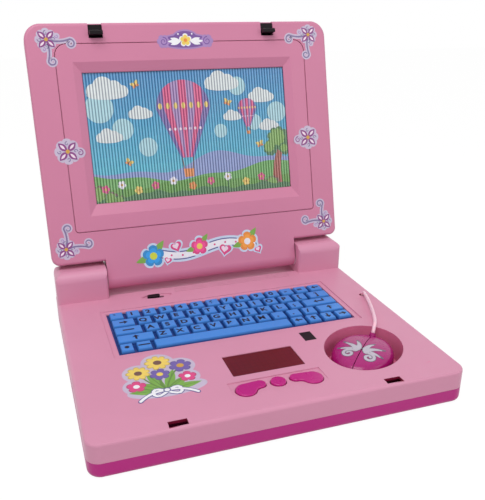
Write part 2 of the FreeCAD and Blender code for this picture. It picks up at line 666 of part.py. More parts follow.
def base_top_shell():
    x = BASE_WIDTH / 2
    outer = rounded_plate(-x, x, FRONT_Y, BACK_Y, PARTING_Z, BASE_TOP, BASE_CORNER)
    outer = round_edges_at(outer, BASE_TOP, TOP_ROUND)
    inner = rounded_plate(-x + WALL, x - WALL, FRONT_Y + WALL, BACK_Y - WALL,
                          PARTING_Z, WALL_UNDER, BASE_CORNER - WALL)
    solid, hollow, boss, bore = hinge_blocks()
    shell = outer.multiFuse(both_sides(solid)).cut(inner)
    for cavity in both_sides(hollow):
        shell = shell.cut(cavity)
    shell = shell.multiFuse(both_sides(boss))

    trough_wall = rod_along_x(TROUGH_RADIUS + WALL, -BLOCK_INNER_X, BLOCK_INNER_X, AXIS_Y, AXIS_Z)
    trough_wall = trough_wall.common(block(-x, x, FRONT_Y, BACK_Y - WALL, PARTING_Z, WALL_UNDER))
    bosses = [post(BOSS_RADIUS, px, py, BASE_JOINT_Z, WALL_UNDER) for px, py in base_screw_places()]
    y = from_front(SWITCH_FROM_FRONT)
    reach = SWITCH_BODY_LENGTH / 2
    switch_posts = [block(SWITCH_X + sx * reach - SWITCH_POST / 2, SWITCH_X + sx * reach + SWITCH_POST / 2,
                          y - SWITCH_BODY_WIDTH / 2, y + SWITCH_BODY_WIDTH / 2,
                          switch_body_top() - SWITCH_BODY_HEIGHT / 2, WALL_UNDER) for sx in (1, -1)]
    shell = shell.multiFuse([trough_wall] + bosses + switch_posts)

    cuts = both_sides(bore) + both_sides(latch_slot()) + fine_ribs()
    cuts.append(rod_along_x(TROUGH_RADIUS, -BLOCK_INNER_X, BLOCK_INNER_X, AXIS_Y, AXIS_Z))
    cuts.append(well_prism(0.0, WALL_UNDER - CUT_MARGIN, BASE_TOP + CUT_MARGIN))
    cuts.append(keyboard_opening(KEYBOARD_PLAY, WALL_UNDER - CUT_MARGIN, BASE_TOP + CUT_MARGIN))
    recess_floor = BASE_TOP - KEYBOARD_RECESS_DEPTH
    cuts.append(keyboard_opening(KEYBOARD_RECESS_BORDER, recess_floor, BASE_TOP + CUT_MARGIN))
    cuts.append(window_prism(INSET_CLEARANCE, WALL_UNDER - CUT_MARGIN, BASE_TOP + CUT_MARGIN))
    cuts.append(status_prism(INSET_CLEARANCE, WALL_UNDER - CUT_MARGIN, BASE_TOP + CUT_MARGIN))
    cuts.append(sloped_panel())
    cuts += both_sides(palm_corner())
    cuts.append(bean_prism(1, BUTTON_PLAY, WALL_UNDER - CUT_MARGIN, BASE_TOP + CUT_MARGIN))
    cuts.append(bean_prism(-1, BUTTON_PLAY, WALL_UNDER - CUT_MARGIN, BASE_TOP + CUT_MARGIN))
    cuts.append(round_prism(BUTTON_PLAY, WALL_UNDER - CUT_MARGIN, BASE_TOP + CUT_MARGIN))
    cuts.append(switch_slot())
    cuts.append(post(CORD_HOLE_RADIUS, CORD_HOLE_X, from_front(CORD_HOLE_FROM_FRONT),
                     WALL_UNDER - CUT_MARGIN, BASE_TOP + CUT_MARGIN))
    for px, py in base_screw_places():
        cuts.append(post(SCREW_RADIUS, px, py, BASE_JOINT_Z, BASE_JOINT_Z + SCREW_GRIP))
    switch_box = power_switch_body()
    cuts.append(switch_box)
    for cut in cuts:
        shell = shell.cut(cut)
    return shell


def mouse_well():
    """Cup that hangs under the deck and holds the mouse."""
    cup = well_prism(WELL_WALL, WELL_FLOOR_Z - WELL_FLOOR_THICKNESS, WALL_UNDER)
    return cup.cut(well_prism(0.0, WELL_FLOOR_Z, WALL_UNDER + CUT_MARGIN))


def bay_block(offset, z0, z1):
    return block(BAY_X - BAY_HALF_LENGTH - offset, BAY_X + BAY_HALF_LENGTH + offset,
                 from_front(BAY_FROM_FRONT) - BAY_HALF_WIDTH - offset,
                 from_front(BAY_FROM_FRONT) + BAY_HALF_WIDTH + offset, z0, z1)


def main_board_outline(z0, z1):
    return block(-MAIN_BOARD_HALF_WIDTH, MAIN_BOARD_HALF_WIDTH,
                 from_front(KEYBOARD_FROM_FRONT + MAIN_BOARD_MARGIN),
                 from_front(KEYBOARD_BACK - MAIN_BOARD_MARGIN), z0, z1)


def front_board_outline(z0, z1):
    return block(-FRONT_BOARD_HALF_WIDTH, FRONT_BOARD_HALF_WIDTH, from_front(FRONT_BOARD_FROM_FRONT),
                 from_front(FRONT_BOARD_FROM_FRONT + FRONT_BOARD_DEPTH), z0, z1)


def board_posts(outline):
    """Posts of the lower shell under the four corners of a board."""
    box = outline.BoundBox
    posts = []
    for x in (box.XMin + BOARD_POST_INSET, box.XMax - BOARD_POST_INSET):
        for y in (box.YMin + BOARD_POST_INSET, box.YMax - BOARD_POST_INSET):
            posts.append(post(BOARD_POST_RADIUS, x, y, FLOOR_Z - CUT_MARGIN, BOARD_UNDER))
    return posts


def speaker_grille():
    slots = []
    for index in range(GRILLE_SLOTS):
        offset = (index - (GRILLE_SLOTS - 1) / 2) * GRILLE_SLOT_SPACING
        reach = math.sqrt((SPEAKER_RADIUS - SPEAKER_RIM) ** 2 - offset ** 2)
        x = SPEAKER_X + offset
        y = from_front(SPEAKER_FROM_FRONT)
        slots.append(block(x - GRILLE_SLOT_WIDTH / 2, x + GRILLE_SLOT_WIDTH / 2, y - reach, y + reach,
                           -CUT_MARGIN, FLOOR_Z + CUT_MARGIN))
    return slots


def base_bottom_shell():
    x = BASE_WIDTH / 2
    outer = rounded_plate(-x, x, FRONT_Y, BACK_Y, 0, PARTING_Z, BASE_CORNER)
    outer = round_edges_at(outer, 0, BOTTOM_ROUND)
    inner = rounded_plate(-x + WALL, x - WALL, FRONT_Y + WALL, BACK_Y - WALL, FLOOR_Z,
                          PARTING_Z, BASE_CORNER - WALL)
    shell = outer.cut(inner)
    gap = WALL + SEAM_CLEARANCE
    deep = gap + LIP_WALL
    lip = rounded_plate(-x + gap, x - gap, FRONT_Y + gap, BACK_Y - gap, FLOOR_Z,
                        PARTING_Z + LIP_HEIGHT, BASE_CORNER - gap)
    lip = lip.cut(rounded_plate(-x + deep, x - deep, FRONT_Y + deep, BACK_Y - deep, FLOOR_Z,
                                PARTING_Z + LIP_HEIGHT, BASE_CORNER - deep))
    lip_root = rounded_plate(-x + WALL, x - WALL, FRONT_Y + WALL, BACK_Y - WALL, FLOOR_Z,
                             PARTING_Z - LIP_HEIGHT, BASE_CORNER - WALL)
    lip_root = lip_root.cut(rounded_plate(-x + deep, x - deep, FRONT_Y + deep, BACK_Y - deep, FLOOR_Z,
                                          PARTING_Z, BASE_CORNER - deep))
    bay = bay_block(BAY_WALL, 0, BAY_CEILING + BAY_WALL)
    bosses = [post(BOSS_RADIUS + BOSS_SOCKET_WALL, px, py, 0, BASE_JOINT_Z) for px, py in base_screw_places()]
    posts = board_posts(main_board_outline(0, 1)) + board_posts(front_board_outline(0, 1))
    shell = shell.multiFuse([lip, lip_root, bay] + bosses + posts)

    cuts = [bay_block(0.0, DOOR_TOP, BAY_CEILING), battery_door_plate(DOOR_CLEARANCE)]
    cuts += speaker_grille()
    for px, py in base_screw_places():
        cuts.append(post(SCREW_RADIUS, px, py, 0, BASE_JOINT_Z))
        cuts.append(post(SCREW_HEAD_RADIUS + HEAD_CLEARANCE, px, py, -CUT_MARGIN, screw_seat_z()))
    door_x, door_y = door_screw_place()
    cuts.append(post(SCREW_RADIUS, door_x, door_y, DOOR_TOP - CUT_MARGIN, DOOR_TOP + SCREW_GRIP))
    for cut in cuts:
        shell = shell.cut(cut)
    return shell


def screw_seat_z():
    return BASE_JOINT_Z - WALL


def screw_up(x, y, seat_z, length):
    """Screw driven upwards, its head below seat_z."""
    head = post(SCREW_HEAD_RADIUS, x, y, seat_z - SCREW_HEAD_HEIGHT, seat_z)
    return head.fuse(post(SCREW_RADIUS, x, y, seat_z, seat_z + length)).removeSplitter()


def base_screws():
    length = BASE_JOINT_Z - screw_seat_z() + SCREW_GRIP
    return Part.makeCompound([screw_up(x, y, screw_seat_z(), length) for x, y in base_screw_places()])


# Battery bay

def door_screw_place():
    return BAY_X + BAY_HALF_LENGTH + BAY_WALL + DOOR_TONGUE / 2, from_front(BAY_FROM_FRONT)


def battery_door_plate(clearance):
    """Door over the bay, with a screwed tongue at its inner end."""
    plate = bay_block(DOOR_MARGIN + clearance, 0, DOOR_TOP)
    x, y = door_screw_place()
    half = DOOR_TONGUE / 2 + clearance
    tongue = block(BAY_X, x + half, y - half, y + half, 0, DOOR_TOP)
    return plate.fuse(tongue).removeSplitter()


def battery_door():
    door = battery_door_plate(0.0)
    x, y = door_screw_place()
    door = door.cut(post(SCREW_HEAD_RADIUS + HEAD_CLEARANCE, x, y, -CUT_MARGIN, door_seat_z()))
    return door.cut(post(SCREW_RADIUS, x, y, -CUT_MARGIN, DOOR_TOP + CUT_MARGIN))


def door_seat_z():
    return DOOR_TOP - DOOR_THICKNESS / 2


def battery_door_screw():
    x, y = door_screw_place()
    head = post(SCREW_HEAD_RADIUS, x, y, 0, door_seat_z())
    return head.fuse(post(SCREW_RADIUS, x, y, door_seat_z(), DOOR_TOP + SCREW_GRIP)).removeSplitter()


def cell_rows():
    """Y of each cell and the side its raised end is on."""
    middle = (CELL_COUNT - 1) / 2
    return [(from_front(BAY_FROM_FRONT) + (index - middle) * CELL_PITCH, 1 - 2 * (index % 2))
            for index in range(CELL_COUNT)]


def battery_cells():
    cells = []
    for y, side in cell_rows():
        body = rod_along_x(CELL_RADIUS, BAY_X - CELL_LENGTH / 2, BAY_X + CELL_LENGTH / 2, y, CELL_Z)
        end = BAY_X + side * CELL_LENGTH / 2
        x0 = min(end, end + side * CELL_NIPPLE_HEIGHT)
        nipple = rod_along_x(CELL_NIPPLE_RADIUS, x0, x0 + CELL_NIPPLE_HEIGHT, y, CELL_Z)
        cells.append(body.fuse(nipple).removeSplitter())
    return Part.makeCompound(cells)


def battery_contacts():
    contacts = []
    half = CONTACT_WIDTH / 2
    for y, raised_side in cell_rows():
        for side in (1, -1):
            wall = BAY_X + side * BAY_HALF_LENGTH
            face = wall - side * CONTACT_PLATE
            plate = block(min(wall, face), max(wall, face), y - half, y + half, CELL_Z - half, CELL_Z + half)
            tip = BAY_X + side * (CELL_LENGTH / 2)
            if side == raised_side:
                tip += side * CELL_NIPPLE_HEIGHT
            length = abs(face - tip)
            cone = Part.makeCone(CONTACT_SPRING_RADIUS, CELL_NIPPLE_RADIUS, length, Vector(face, y, CELL_Z),
                                 Vector(-side, 0, 0))
            contacts.append(plate.fuse(cone).removeSplitter())
    return Part.makeCompound(contacts)


# Electronics

def main_board():
    board = main_board_outline(BOARD_UNDER, BOARD_TOP_Z)
    chip_y = from_front(KEYBOARD_BACK - MAIN_BOARD_MARGIN - 2 * CHIP_RADIUS)
    chip = Part.makeCone(CHIP_RADIUS, CHIP_RADIUS / 2, CHIP_HEIGHT, Vector(0, chip_y, BOARD_UNDER),
                         Vector(0, 0, -1))
    return board.fuse(chip).removeSplitter()


def key_domes():
    """Rubber contact domes on the main board, just under the key plate."""
    top = PLATE_UNDER - DOME_CLEARANCE
    x_step = 2 * MAIN_BOARD_HALF_WIDTH / KEY_DOME_COLUMNS
    domes = []
    for column in range(KEY_DOME_COLUMNS):
        x = -MAIN_BOARD_HALF_WIDTH + (column + 0.5) * x_step
        for row in (1, KEY_ROWS - 1):
            y = from_front(KEYBOARD_FROM_FRONT + row * KEY_PITCH)
            foot = Vector(x, y, BOARD_TOP_Z)
            domes.append(Part.makeCone(DOME_RADIUS, DOME_RADIUS / 2, top - BOARD_TOP_Z, foot))
    return Part.makeCompound(domes)


def front_board():
    return front_board_outline(BOARD_UNDER, BOARD_TOP_Z)


def button_places():
    y = from_front((BEAN_OUTER[1] + BEAN_INNER[1]) / 2)
    x = (BEAN_OUTER[0] + BEAN_INNER[0]) / 2
    return [(-x, y), (0.0, from_front(ROUND_BUTTON_FROM_FRONT)), (x, y)]


def button_flange_top():
    return WALL_UNDER - LIFT_GAP


def button_stem_foot():
    return button_flange_top() - BUTTON_FLANGE_THICKNESS - BUTTON_STEM_LENGTH


def button_domes():
    top = button_stem_foot() - DOME_CLEARANCE
    domes = [Part.makeCone(BUTTON_DOME_RADIUS, BUTTON_STEM_RADIUS, top - BOARD_TOP_Z,
                           Vector(x, y, BOARD_TOP_Z)) for x, y in button_places()]
    return Part.makeCompound(domes)


def display_leds():
    leds = []
    spacing = 2 * WINDOW_HALF_WIDTH / LED_COUNT
    y = from_front(WINDOW_FROM_FRONT + WINDOW_DEPTH / 2)
    top = WALL_UNDER - WINDOW_FLANGE_THICKNESS - LED_BOARD_GAP / 2
    for index in range(LED_COUNT):
        x = (index - (LED_COUNT - 1) / 2) * spacing
        barrel = post(LED_RADIUS, x, y, BOARD_TOP_Z, top)
        leds.append(barrel.makeFillet(LED_ROUND, edges_at_height(barrel, top)))
    return Part.makeCompound(leds)


def speaker():
    """Round speaker lying face down on the floor of the lower shell."""
    z0 = FLOOR_Z
    rim_z = z0 + SPEAKER_RIM
    cone_z = rim_z + SPEAKER_CONE_HEIGHT
    magnet_z = cone_z + SPEAKER_MAGNET_HEIGHT
    profile = Part.makePolygon([Vector(0, 0, z0), Vector(SPEAKER_RADIUS, 0, z0),
                                Vector(SPEAKER_RADIUS, 0, rim_z), Vector(SPEAKER_MAGNET_RADIUS, 0, cone_z),
                                Vector(SPEAKER_MAGNET_RADIUS, 0, magnet_z), Vector(0, 0, magnet_z),
                                Vector(0, 0, z0)])
    body = Part.Face(profile).revolve(Vector(0, 0, 0), Vector(0, 0, 1), 360)
    body.translate(Vector(SPEAKER_X, from_front(SPEAKER_FROM_FRONT), 0))
    return body


# Controls

def keyboard():
    """One moulding: a plate with every key standing on it."""
    plate = keyboard_opening(KEYBOARD_FLANGE, PLATE_UNDER, PLATE_TOP)
    solids = [plate]
    for row, widths in enumerate(KEY_LAYOUT):
        y1 = from_front(KEYBOARD_BACK - row * KEY_PITCH) - KEY_GAP / 2
        y0 = y1 - KEY_PITCH + KEY_GAP
        x = -KEYBOARD_HALF_WIDTH
        for width in widths:
            x0 = x + KEY_GAP / 2
            x = x + width * KEY_PITCH
            solids.append(tapered_key(x0, x - KEY_GAP / 2, y0, y1, PLATE_TOP, KEY_TOP, KEY_DRAFT))
    return fuse_all(solids)


def pressed_button(cap, flange, place):
    cap = cap.makeFillet(BUTTON_EDGE_ROUND, edges_at_height(cap, BASE_TOP + BUTTON_RISE))
    x, y = place
    stem = post(BUTTON_STEM_RADIUS, x, y, button_stem_foot(), button_flange_top())
    return fuse_all([cap, flange, stem])


def bean_button(side):
    top = button_flange_top()
    cap = bean_prism(side, 0.0, top, BASE_TOP + BUTTON_RISE)
    flange = bean_prism(side, BUTTON_FLANGE, top - BUTTON_FLANGE_THICKNESS, top)
    return pressed_button(cap, flange, button_places()[1 + side])


def round_button():
    top = button_flange_top()
    cap = round_prism(0.0, top, BASE_TOP + BUTTON_RISE)
    flange = round_prism(BUTTON_FLANGE, top - BUTTON_FLANGE_THICKNESS, top)
    return pressed_button(cap, flange, button_places()[1])


def display_window():
    under = WALL_UNDER - WINDOW_FLANGE_THICKNESS
    pane = window_prism(0.0, under, BASE_TOP - WINDOW_SINK)
    return pane.fuse(window_prism(WINDOW_FLANGE, under, WALL_UNDER)).removeSplitter()


def status_lens():
    under = WALL_UNDER - WINDOW_FLANGE_THICKNESS
    pane = status_prism(0.0, under, BASE_TOP)
    return pane.fuse(status_prism(WINDOW_FLANGE, under, WALL_UNDER)).removeSplitter()


def switch_flange_under():
    return WALL_UNDER - LIFT_GAP - BUTTON_FLANGE_THICKNESS


def switch_body_top():
    return switch_flange_under() - LIFT_GAP


def power_switch_body():
    y = from_front(SWITCH_FROM_FRONT)
    top = switch_body_top()
    return block(SWITCH_X - SWITCH_BODY_LENGTH / 2, SWITCH_X + SWITCH_BODY_LENGTH / 2,
                 y - SWITCH_BODY_WIDTH / 2, y + SWITCH_BODY_WIDTH / 2, top - SWITCH_BODY_HEIGHT, top)


def power_knob():
    """Sliding knob at the left end of its travel."""
    y = from_front(SWITCH_FROM_FRONT)
    x = SWITCH_X - SWITCH_TRAVEL / 2
    knob_foot = BASE_TOP - SWITCH_DISH_DEPTH + LIFT_GAP
    knob = rounded_plate(x - SWITCH_KNOB_LENGTH / 2, x + SWITCH_KNOB_LENGTH / 2,
                         y - SWITCH_KNOB_WIDTH / 2, y + SWITCH_KNOB_WIDTH / 2,
                         knob_foot, BASE_TOP - SWITCH_KNOB_SINK + BUTTON_RISE, SWITCH_KNOB_CORNER)
    stem = block(x - SWITCH_STEM_LENGTH / 2, x + SWITCH_STEM_LENGTH / 2, y - SWITCH_STEM_WIDTH / 2,
                 y + SWITCH_STEM_WIDTH / 2, switch_flange_under(), knob_foot)
    flange = block(x - SWITCH_STEM_LENGTH / 2, x + SWITCH_STEM_LENGTH / 2, y - SWITCH_BODY_WIDTH / 2,
                   y + SWITCH_BODY_WIDTH / 2, switch_flange_under(), WALL_UNDER - LIFT_GAP)
    return fuse_all([knob, stem, flange])


# Hinge

def hinge_pin():
    return rod_along_x(PIN_RADIUS, BARREL_HALF - PIN_IN_BARREL, BLOCK_INNER_X + PIN_IN_BLOCK, AXIS_Y, AXIS_Z)


def hinge_washer():
    x0 = BARREL_HALF + WASHER_CLEARANCE
    x1 = BLOCK_INNER_X - WASHER_CLEARANCE
    ring = rod_along_x(WASHER_RADIUS, x0, x1, AXIS_Y, AXIS_Z)
    return ring.cut(rod_along_x(PIN_RADIUS, x0, x1, AXIS_Y, AXIS_Z))


# Lid, in its own frame

def lid_body(inset):
    """Closed outer form of the lid, or with an inset the hollow inside it."""
    x = LID_WIDTH / 2 - inset
    face = LID_FACE - inset
    rear = LID_REAR + inset
    slab = rounded_plate(-x, x, LID_NOTCH + inset, LID_EDGE - inset, rear, face,
                         LID_FOOT_CORNER - inset, LID_TOP_CORNER - inset)
    slab = round_edges_at(slab, rear, LID_BACK_ROUND - inset)
    front_round = LID_FRONT_ROUND - inset
    if front_round > 0:
        slab = round_edges_at(slab, face, front_round)
    half = BARREL_HALF - inset
    radius = HEEL_RADIUS - inset
    overlap = LID_NOTCH + LID_BACK_ROUND + 2 * LID_WALL
    heel = rod_along_x(radius, -half, half, HEEL_RISE, HEEL_CENTRE)
    tongue = block(-half, half, HEEL_RISE, overlap, rear, face)
    return fuse_all([slab, heel, tongue])


def bezel_outline(offset, z0, z1):
    return rounded_plate(-BEZEL_HALF_WIDTH - offset, BEZEL_HALF_WIDTH + offset, BEZEL_FOOT - offset,
                         BEZEL_HEAD + offset, z0, z1, BEZEL_FOOT_CORNER + max(offset, -BEZEL_FOOT_CORNER / 2),
                         BEZEL_TOP_CORNER + offset)


def lid_half_space(front):
    x = LID_WIDTH
    if front:
        return block(-x, x, -x, 2 * x, LID_SPLIT, LID_FACE + CUT_MARGIN)
    return block(-x, x, -x, 2 * x, LID_REAR - CUT_MARGIN, LID_SPLIT)


def lid_screw_places():
    x = LID_WIDTH / 2 - LID_SCREW_FROM_SIDE
    high = LID_EDGE - LID_SCREW_FROM_EDGE
    heights = (LID_SCREW_LOW, (LID_SCREW_LOW + high) / 2, high)
    return [(side * x, height) for height in heights for side in (1, -1)]


def latch_cutout():
    half = LATCH_WIDTH / 2 + LATCH_SIDE_GAP
    low = LATCH_PIVOT_HEIGHT - LATCH_HUB_RADIUS - LATCH_SLOT_CLEARANCE
    return block(LATCH_X - half, LATCH_X + half, low, LID_EDGE + CUT_MARGIN,
                 latch_tab_back() - LATCH_SLOT_CLEARANCE, LID_FACE + CUT_MARGIN)


def latch_tab_back():
    return LID_FACE - LATCH_TAB_SETBACK - LATCH_TAB_THICKNESS


def latch_cheeks():
    """Two ribs inside the lid that carry a latch's pin."""
    inner = LATCH_WIDTH / 2 + LATCH_SIDE_GAP
    low = LATCH_PIVOT_HEIGHT - 2 * LATCH_HUB_RADIUS
    cheeks = []
    for x0 in (LATCH_X - inner - LATCH_RIB, LATCH_X + inner):
        cheeks.append(block(x0, x0 + LATCH_RIB, low, LID_EDGE - LID_WALL,
                            LATCH_PIVOT_Z - LATCH_HUB_RADIUS, LID_FACE - LID_WALL))
    return cheeks


def latch_bore(radius):
    reach = LATCH_WIDTH / 2 + LATCH_SIDE_GAP + LATCH_RIB
    return rod_along_x(radius, LATCH_X - reach, LATCH_X + reach, LATCH_PIVOT_HEIGHT, LATCH_PIVOT_Z)


def lid_front_shell():
    shell = lid_body(0.0).cut(lid_body(LID_WALL)).common(lid_half_space(True))
    ledge = bezel_outline(LEDGE_WIDTH / 2, BEZEL_BACK - LEDGE_THICKNESS, BEZEL_BACK)
    ledge = ledge.cut(bezel_outline(-LEDGE_WIDTH, BEZEL_BACK - LEDGE_THICKNESS, BEZEL_BACK))
    boss_x = BARREL_HALF - PIN_IN_BARREL
    pin_boss = rod_along_x(PIN_RADIUS + PIN_BOSS_WALL, boss_x, BARREL_HALF, 0, 0)
    pin_boss = pin_boss.common(lid_half_space(True))
    screw_bosses = [post(BOSS_RADIUS, x, y, LID_SPLIT, LID_FACE - LID_WALL) for x, y in lid_screw_places()]
    cheeks = []
    for cheek in latch_cheeks():
        cheeks += both_sides(cheek)
    shell = shell.multiFuse([ledge] + both_sides(pin_boss) + screw_bosses + cheeks)

    cuts = [bezel_outline(0.0, BEZEL_BACK, LID_FACE + CUT_MARGIN),
            bezel_outline(-LEDGE_WIDTH, LID_SPLIT, BEZEL_BACK)]
    bore = rod_along_x(PIN_RADIUS + PIN_RUNNING_CLEARANCE, boss_x, BARREL_HALF + CUT_MARGIN, 0, 0)
    cuts += both_sides(bore) + both_sides(latch_cutout()) + both_sides(latch_bore(LATCH_PIN_RADIUS))
    for x, y in lid_screw_places():
        cuts.append(post(SCREW_RADIUS, x, y, LID_SPLIT, LID_SPLIT + SCREW_GRIP))
    for cut in cuts:
        shell = shell.cut(cut)
    return shell


def lid_seat_z():
    """Height of the faces that the lid screws' heads press on."""
    return LID_REAR + LID_WALL + LID_HEAD_SINK


def lid_back_shell():
    shell = lid_body(0.0).cut(lid_body(LID_WALL)).common(lid_half_space(False))
    tubes = [post(BOSS_RADIUS, x, y, LID_REAR + LID_WALL / 2, LID_SPLIT) for x, y in lid_screw_places()]
    shell = shell.multiFuse(tubes)
    for x, y in lid_screw_places():
        shell = shell.cut(post(SCREW_RADIUS, x, y, LID_REAR - CUT_MARGIN, LID_SPLIT))
        shell = shell.cut(post(SCREW_HEAD_RADIUS + HEAD_CLEARANCE, x, y, LID_REAR - CUT_MARGIN, lid_seat_z()))
    return shell


def lid_screws():
    length = LID_SPLIT - lid_seat_z() + SCREW_GRIP
    return Part.makeCompound([screw_up(x, y, lid_seat_z(), length) for x, y in lid_screw_places()])


def funnel():
    """Sloped opening of the bezel, from its face down to the screen."""
    def ring(half, low, high, z):
        return Part.makePolygon([Vector(-half, low, z), Vector(half, low, z), Vector(half, high, z),
                                 Vector(-half, high, z), Vector(-half, low, z)])
    front = ring(FUNNEL_HALF_WIDTH, FUNNEL_FOOT, FUNNEL_HEAD, LID_FACE)
    back = ring(SCREEN_HALF_WIDTH, SCREEN_FOOT, SCREEN_HEAD, LENS_FACE)
    return Part.makeLoft([back, front], True, True)


def screen_margin_block(margin, z0, z1):
    return block(-SCREEN_HALF_WIDTH - margin, SCREEN_HALF_WIDTH + margin, SCREEN_FOOT - margin,
                 SCREEN_HEAD + margin, z0, z1)


def clamp_screw_places():
    reach = SCREEN_BORDER + CLAMP_RIM + SCREW_HEAD_RADIUS
    xs = (-SCREEN_HALF_WIDTH - reach, SCREEN_HALF_WIDTH + reach)
    middle = (SCREEN_FOOT + SCREEN_HEAD) / 2
    return [(x, y) for x in xs for y in (SCREEN_FOOT, middle, SCREEN_HEAD)]


def screen_bezel():
    plate = bezel_outline(-BEZEL_GAP, BEZEL_BACK, LID_FACE)
    plate = plate.makeChamfer(BEZEL_CHAMFER, edges_at_height(plate, LID_FACE))
    seat = screen_margin_block(SCREEN_BORDER + CLAMP_RIM, LENS_FACE, BEZEL_BACK)
    posts = [post(BOSS_RADIUS, x, y, CARD_BACK, BEZEL_BACK) for x, y in clamp_screw_places()]
    bezel = fuse_all([plate, seat] + posts).cut(funnel())
    for x, y in clamp_screw_places():
        bezel = bezel.cut(post(SCREW_RADIUS, x, y, CARD_BACK, BEZEL_BACK))
    return bezel


def screen_lens():
    """Clear sheet with upright ribs over the picture."""
    sheet = screen_margin_block(SCREEN_BORDER, LENS_BACK, LENS_FACE)
    count = int(2 * SCREEN_HALF_WIDTH / LENS_RIB_PITCH)
    left = -count * LENS_RIB_PITCH / 2
    foot = LENS_FACE - LENS_THICKNESS / 2
    points = [Vector(left, SCREEN_FOOT, foot), Vector(left, SCREEN_FOOT, LENS_FACE)]
    for index in range(count):
        x = left + index * LENS_RIB_PITCH
        points.append(Vector(x + LENS_RIB_PITCH / 2, SCREEN_FOOT, LENS_FACE + LENS_RIB_HEIGHT))
        points.append(Vector(x + LENS_RIB_PITCH, SCREEN_FOOT, LENS_FACE))
    points.append(Vector(-left, SCREEN_FOOT, foot))
    points.append(points[0])
    ribs = Part.Face(Part.makePolygon(points)).extrude(Vector(0, SCREEN_HEAD - SCREEN_FOOT, 0))
    return sheet.fuse(ribs).removeSplitter()


def picture_card():
    return screen_margin_block(SCREEN_BORDER, CARD_BACK, LENS_BACK)


def screen_clamp():
    """Frame that presses the card and the sheet against the bezel."""
    outer = screen_margin_block(SCREEN_BORDER + CLAMP_RIM, CLAMP_BACK, CARD_BACK)
    ears = [post(BOSS_RADIUS, x, y, CLAMP_BACK, CARD_BACK) for x, y in clamp_screw_places()]
    frame = fuse_all([outer] + ears)
    frame = frame.cut(screen_margin_block(-SCREEN_BORDER, CLAMP_BACK, CARD_BACK))
    for x, y in clamp_screw_places():
        frame = frame.cut(post(SCREW_RADIUS, x, y, CLAMP_BACK, CARD_BACK))
    return frame


def screen_screws():
    length = CLAMP_THICKNESS + BEZEL_BACK - CARD_BACK
    return Part.makeCompound([screw_up(x, y, CLAMP_BACK, length) for x, y in clamp_screw_places()])


def latch():
    """Right latch: a hook in front of the lid's face, a hub on a pin, and a thumb tab at the edge."""
    stem_low = LATCH_STEM_TOP - LATCH_STEM
    nose = LID_FACE + LATCH_REACH
    barb = nose - LATCH_STEM
    tab_top = LID_EDGE - LATCH_TAB_BELOW_EDGE
    tab_front = LID_FACE - LATCH_TAB_SETBACK
    profile = [
        (stem_low, LATCH_PIVOT_Z), (stem_low, nose), (LATCH_STEM_TOP, nose), (LATCH_NOSE_TOP, barb),
        (LATCH_STEM_TOP, barb - LATCH_BARB), (LATCH_STEM_TOP, tab_front), (tab_top, tab_front),
        (tab_top, latch_tab_back()), (LATCH_STEM_TOP, latch_tab_back()), (LATCH_STEM_TOP, LATCH_PIVOT_Z),
    ]
    x0 = LATCH_X - LATCH_WIDTH / 2
    points = [Vector(x0, y, z) for y, z in profile]
    hook = Part.Face(Part.makePolygon(points + points[:1])).extrude(Vector(LATCH_WIDTH, 0, 0))
    hub = rod_along_x(LATCH_HUB_RADIUS, x0, x0 + LATCH_WIDTH, LATCH_PIVOT_HEIGHT, LATCH_PIVOT_Z)
    body = hook.fuse(hub).removeSplitter()
    return body.cut(latch_bore(LATCH_PIN_RADIUS + PIN_RUNNING_CLEARANCE))


def latch_pins():
    return Part.makeCompound(both_sides(latch_bore(LATCH_PIN_RADIUS)))


# Mouse, in its own frame

def mouse_form(inset):
    """Outer form of the mouse's top, or with an inset the hollow inside it."""
    top = MOUSE_FLOOR + MOUSE_HEIGHT - inset
    prism = ellipse_prism(MOUSE_HALF_WIDTH - inset, MOUSE_HALF_LENGTH - inset, MOUSE_FLOOR, top + CUT_MARGIN)
    radius = MOUSE_CROWN_RADIUS - inset
    crown = Part.makeSphere(radius, Vector(0, 0, top - radius))
    form = prism.common(crown)
    rim = [e for e in form.Edges if e.BoundBox.ZMin > MOUSE_FLOOR + CUT_MARGIN
           and e.BoundBox.XLength > MOUSE_HALF_WIDTH]
    return form.makeFillet(MOUSE_EDGE_ROUND - inset, rim)


def boot_axis():
    rise = math.radians(BOOT_RISE_ANGLE)
    return Vector(0, math.cos(rise), math.sin(rise))


def boot_base():
    x, y, height = BOOT_FOOT
    return Vector(x, y, MOUSE_FLOOR + height)


def mouse_pin_z():
    return MOUSE_FLOOR + MOUSE_PIN_HEIGHT


